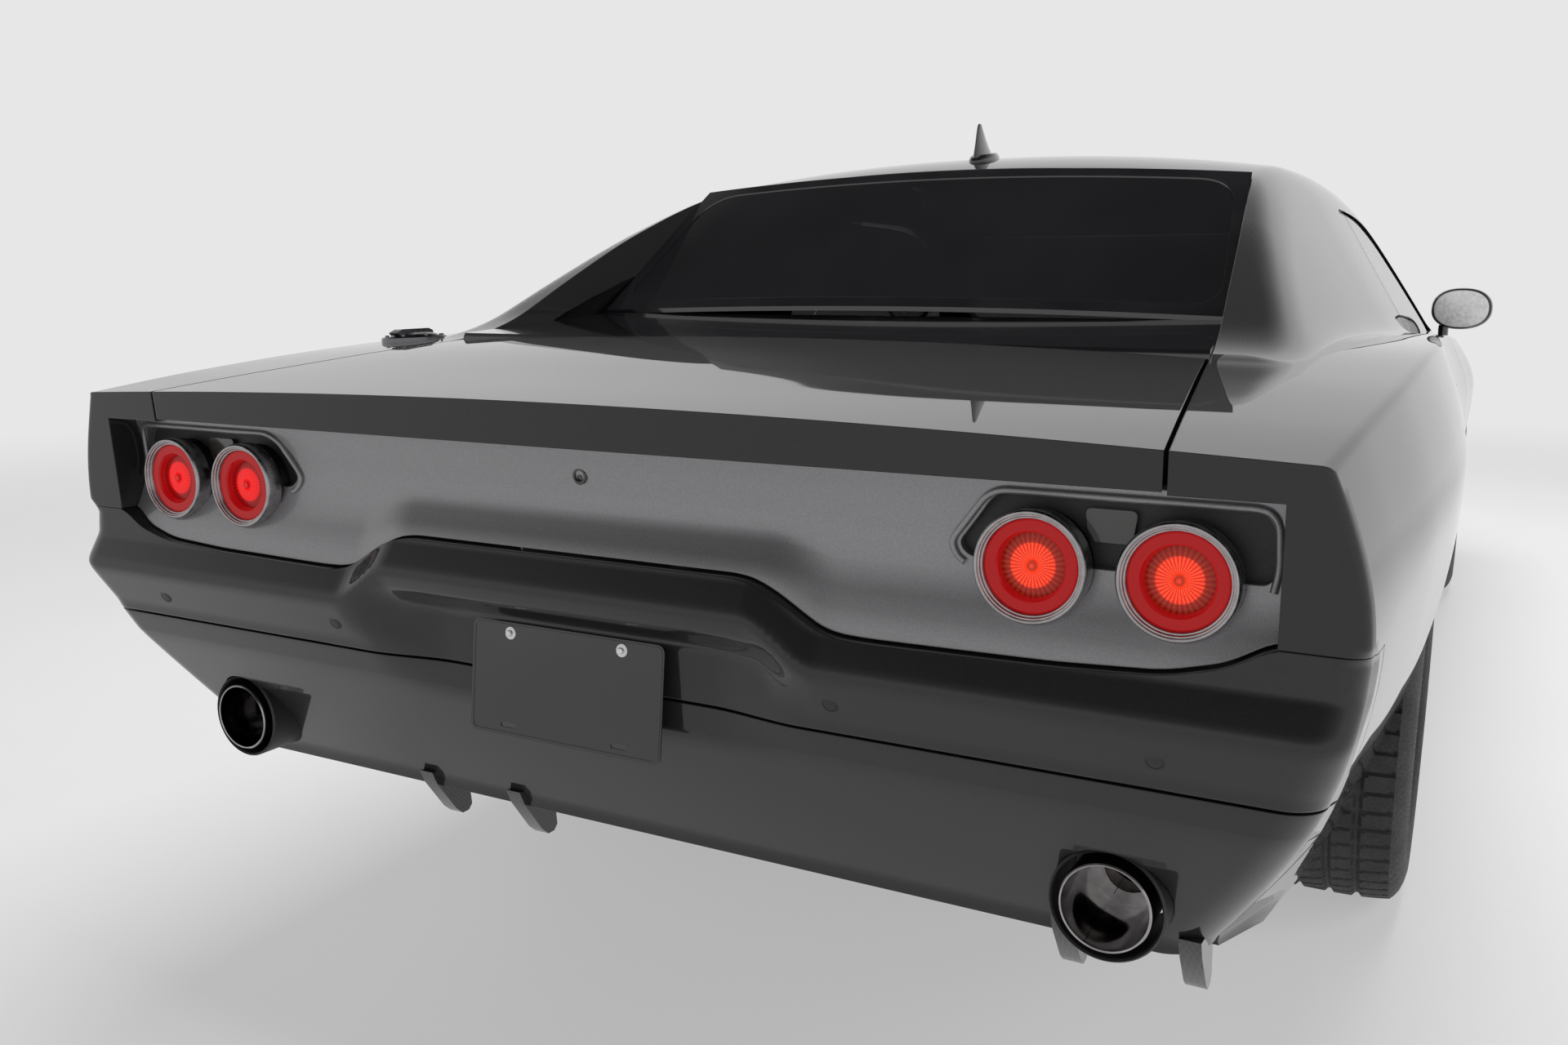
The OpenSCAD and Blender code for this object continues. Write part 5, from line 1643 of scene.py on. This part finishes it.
class CAR_OT_shell(CarOperator, bpy.types.Operator):
    """Build the roof, pillars, buttresses and rear quarters"""
    bl_idname = "car.shell"
    bl_label = "Body shell"

    def make(self, p):
        build_shell()
        build_filler()


class CAR_OT_panels(CarOperator, bpy.types.Operator):
    """Build the front fenders, hood, decklid and doors"""
    bl_idname = "car.panels"
    bl_label = "Fenders, lids and doors"

    def make(self, p):
        build_fenders()
        build_hood()
        build_decklid()
        build_doors()


class CAR_OT_glass(CarOperator, bpy.types.Operator):
    """Build the window glass and the rear glass frame"""
    bl_idname = "car.glass"
    bl_label = "Glass"

    def make(self, p):
        build_glass()
        build_rear_glass()


class CAR_OT_tail(CarOperator, bpy.types.Operator):
    """Build the rear bumper, tail panel, lamps, tips and number plate"""
    bl_idname = "car.tail"
    bl_label = "Tail"

    def make(self, p):
        build_bumper()
        build_tail_panel()
        build_lamps()
        build_tips()
        build_plate()


class CAR_OT_trim(CarOperator, bpy.types.Operator):
    """Build the fuel cap, aerial and door mirrors"""
    bl_idname = "car.trim"
    bl_label = "Small trim"

    def make(self, p):
        build_small_trim()
        build_mirrors()


class CAR_OT_nose(CarOperator, bpy.types.Operator):
    """Build the front bumper, header and grille"""
    bl_idname = "car.nose"
    bl_label = "Nose"

    def make(self, p):
        build_nose()


class CAR_OT_wheels(CarOperator, bpy.types.Operator):
    """Build the tyres and wheels and finish the running gear"""
    bl_idname = "car.wheels"
    bl_label = "Wheels and running gear"

    def make(self, p):
        build_wheels(p)
        build_running_gear()


class CAR_OT_cabin(CarOperator, bpy.types.Operator):
    """Build the seats and steering wheel"""
    bl_idname = "car.cabin"
    bl_label = "Cabin"

    def make(self, p):
        build_seats()


class CAR_OT_stage(CarOperator, bpy.types.Operator):
    """Set the floor, lights, backdrop and camera"""
    bl_idname = "car.stage"
    bl_label = "Stage"

    def make(self, p):
        build_stage(p)


STEPS = (CAR_OT_materials, CAR_OT_shell, CAR_OT_panels, CAR_OT_glass, CAR_OT_tail, CAR_OT_trim,
         CAR_OT_nose, CAR_OT_wheels, CAR_OT_cabin, CAR_OT_stage)


class CAR_PT_panel(bpy.types.Panel):
    bl_label = "Fastback muscle car"
    bl_idname = "CAR_PT_panel"
    bl_space_type = "VIEW_3D"
    bl_region_type = "UI"
    bl_category = "Car"

    def draw(self, context):
        settings = context.scene.car_settings
        for name in ("paint_colour", "panel_colour", "backdrop_colour", "key_power"):
            self.layout.prop(settings, name)
        for step in STEPS:
            self.layout.operator(step.bl_idname)


CLASSES = (CAR_PG_settings, *STEPS, CAR_PT_panel)


def register():
    for cls in CLASSES:
        bpy.utils.register_class(cls)
    bpy.types.Scene.car_settings = bpy.props.PointerProperty(type=CAR_PG_settings)


def unregister():
    del bpy.types.Scene.car_settings
    for cls in reversed(CLASSES):
        bpy.utils.unregister_class(cls)


def main():
    register()
    for step in STEPS:
        group, name = step.bl_idname.split(".")
        getattr(getattr(bpy.ops, group), name)()


if __name__ == "__main__":
    main()
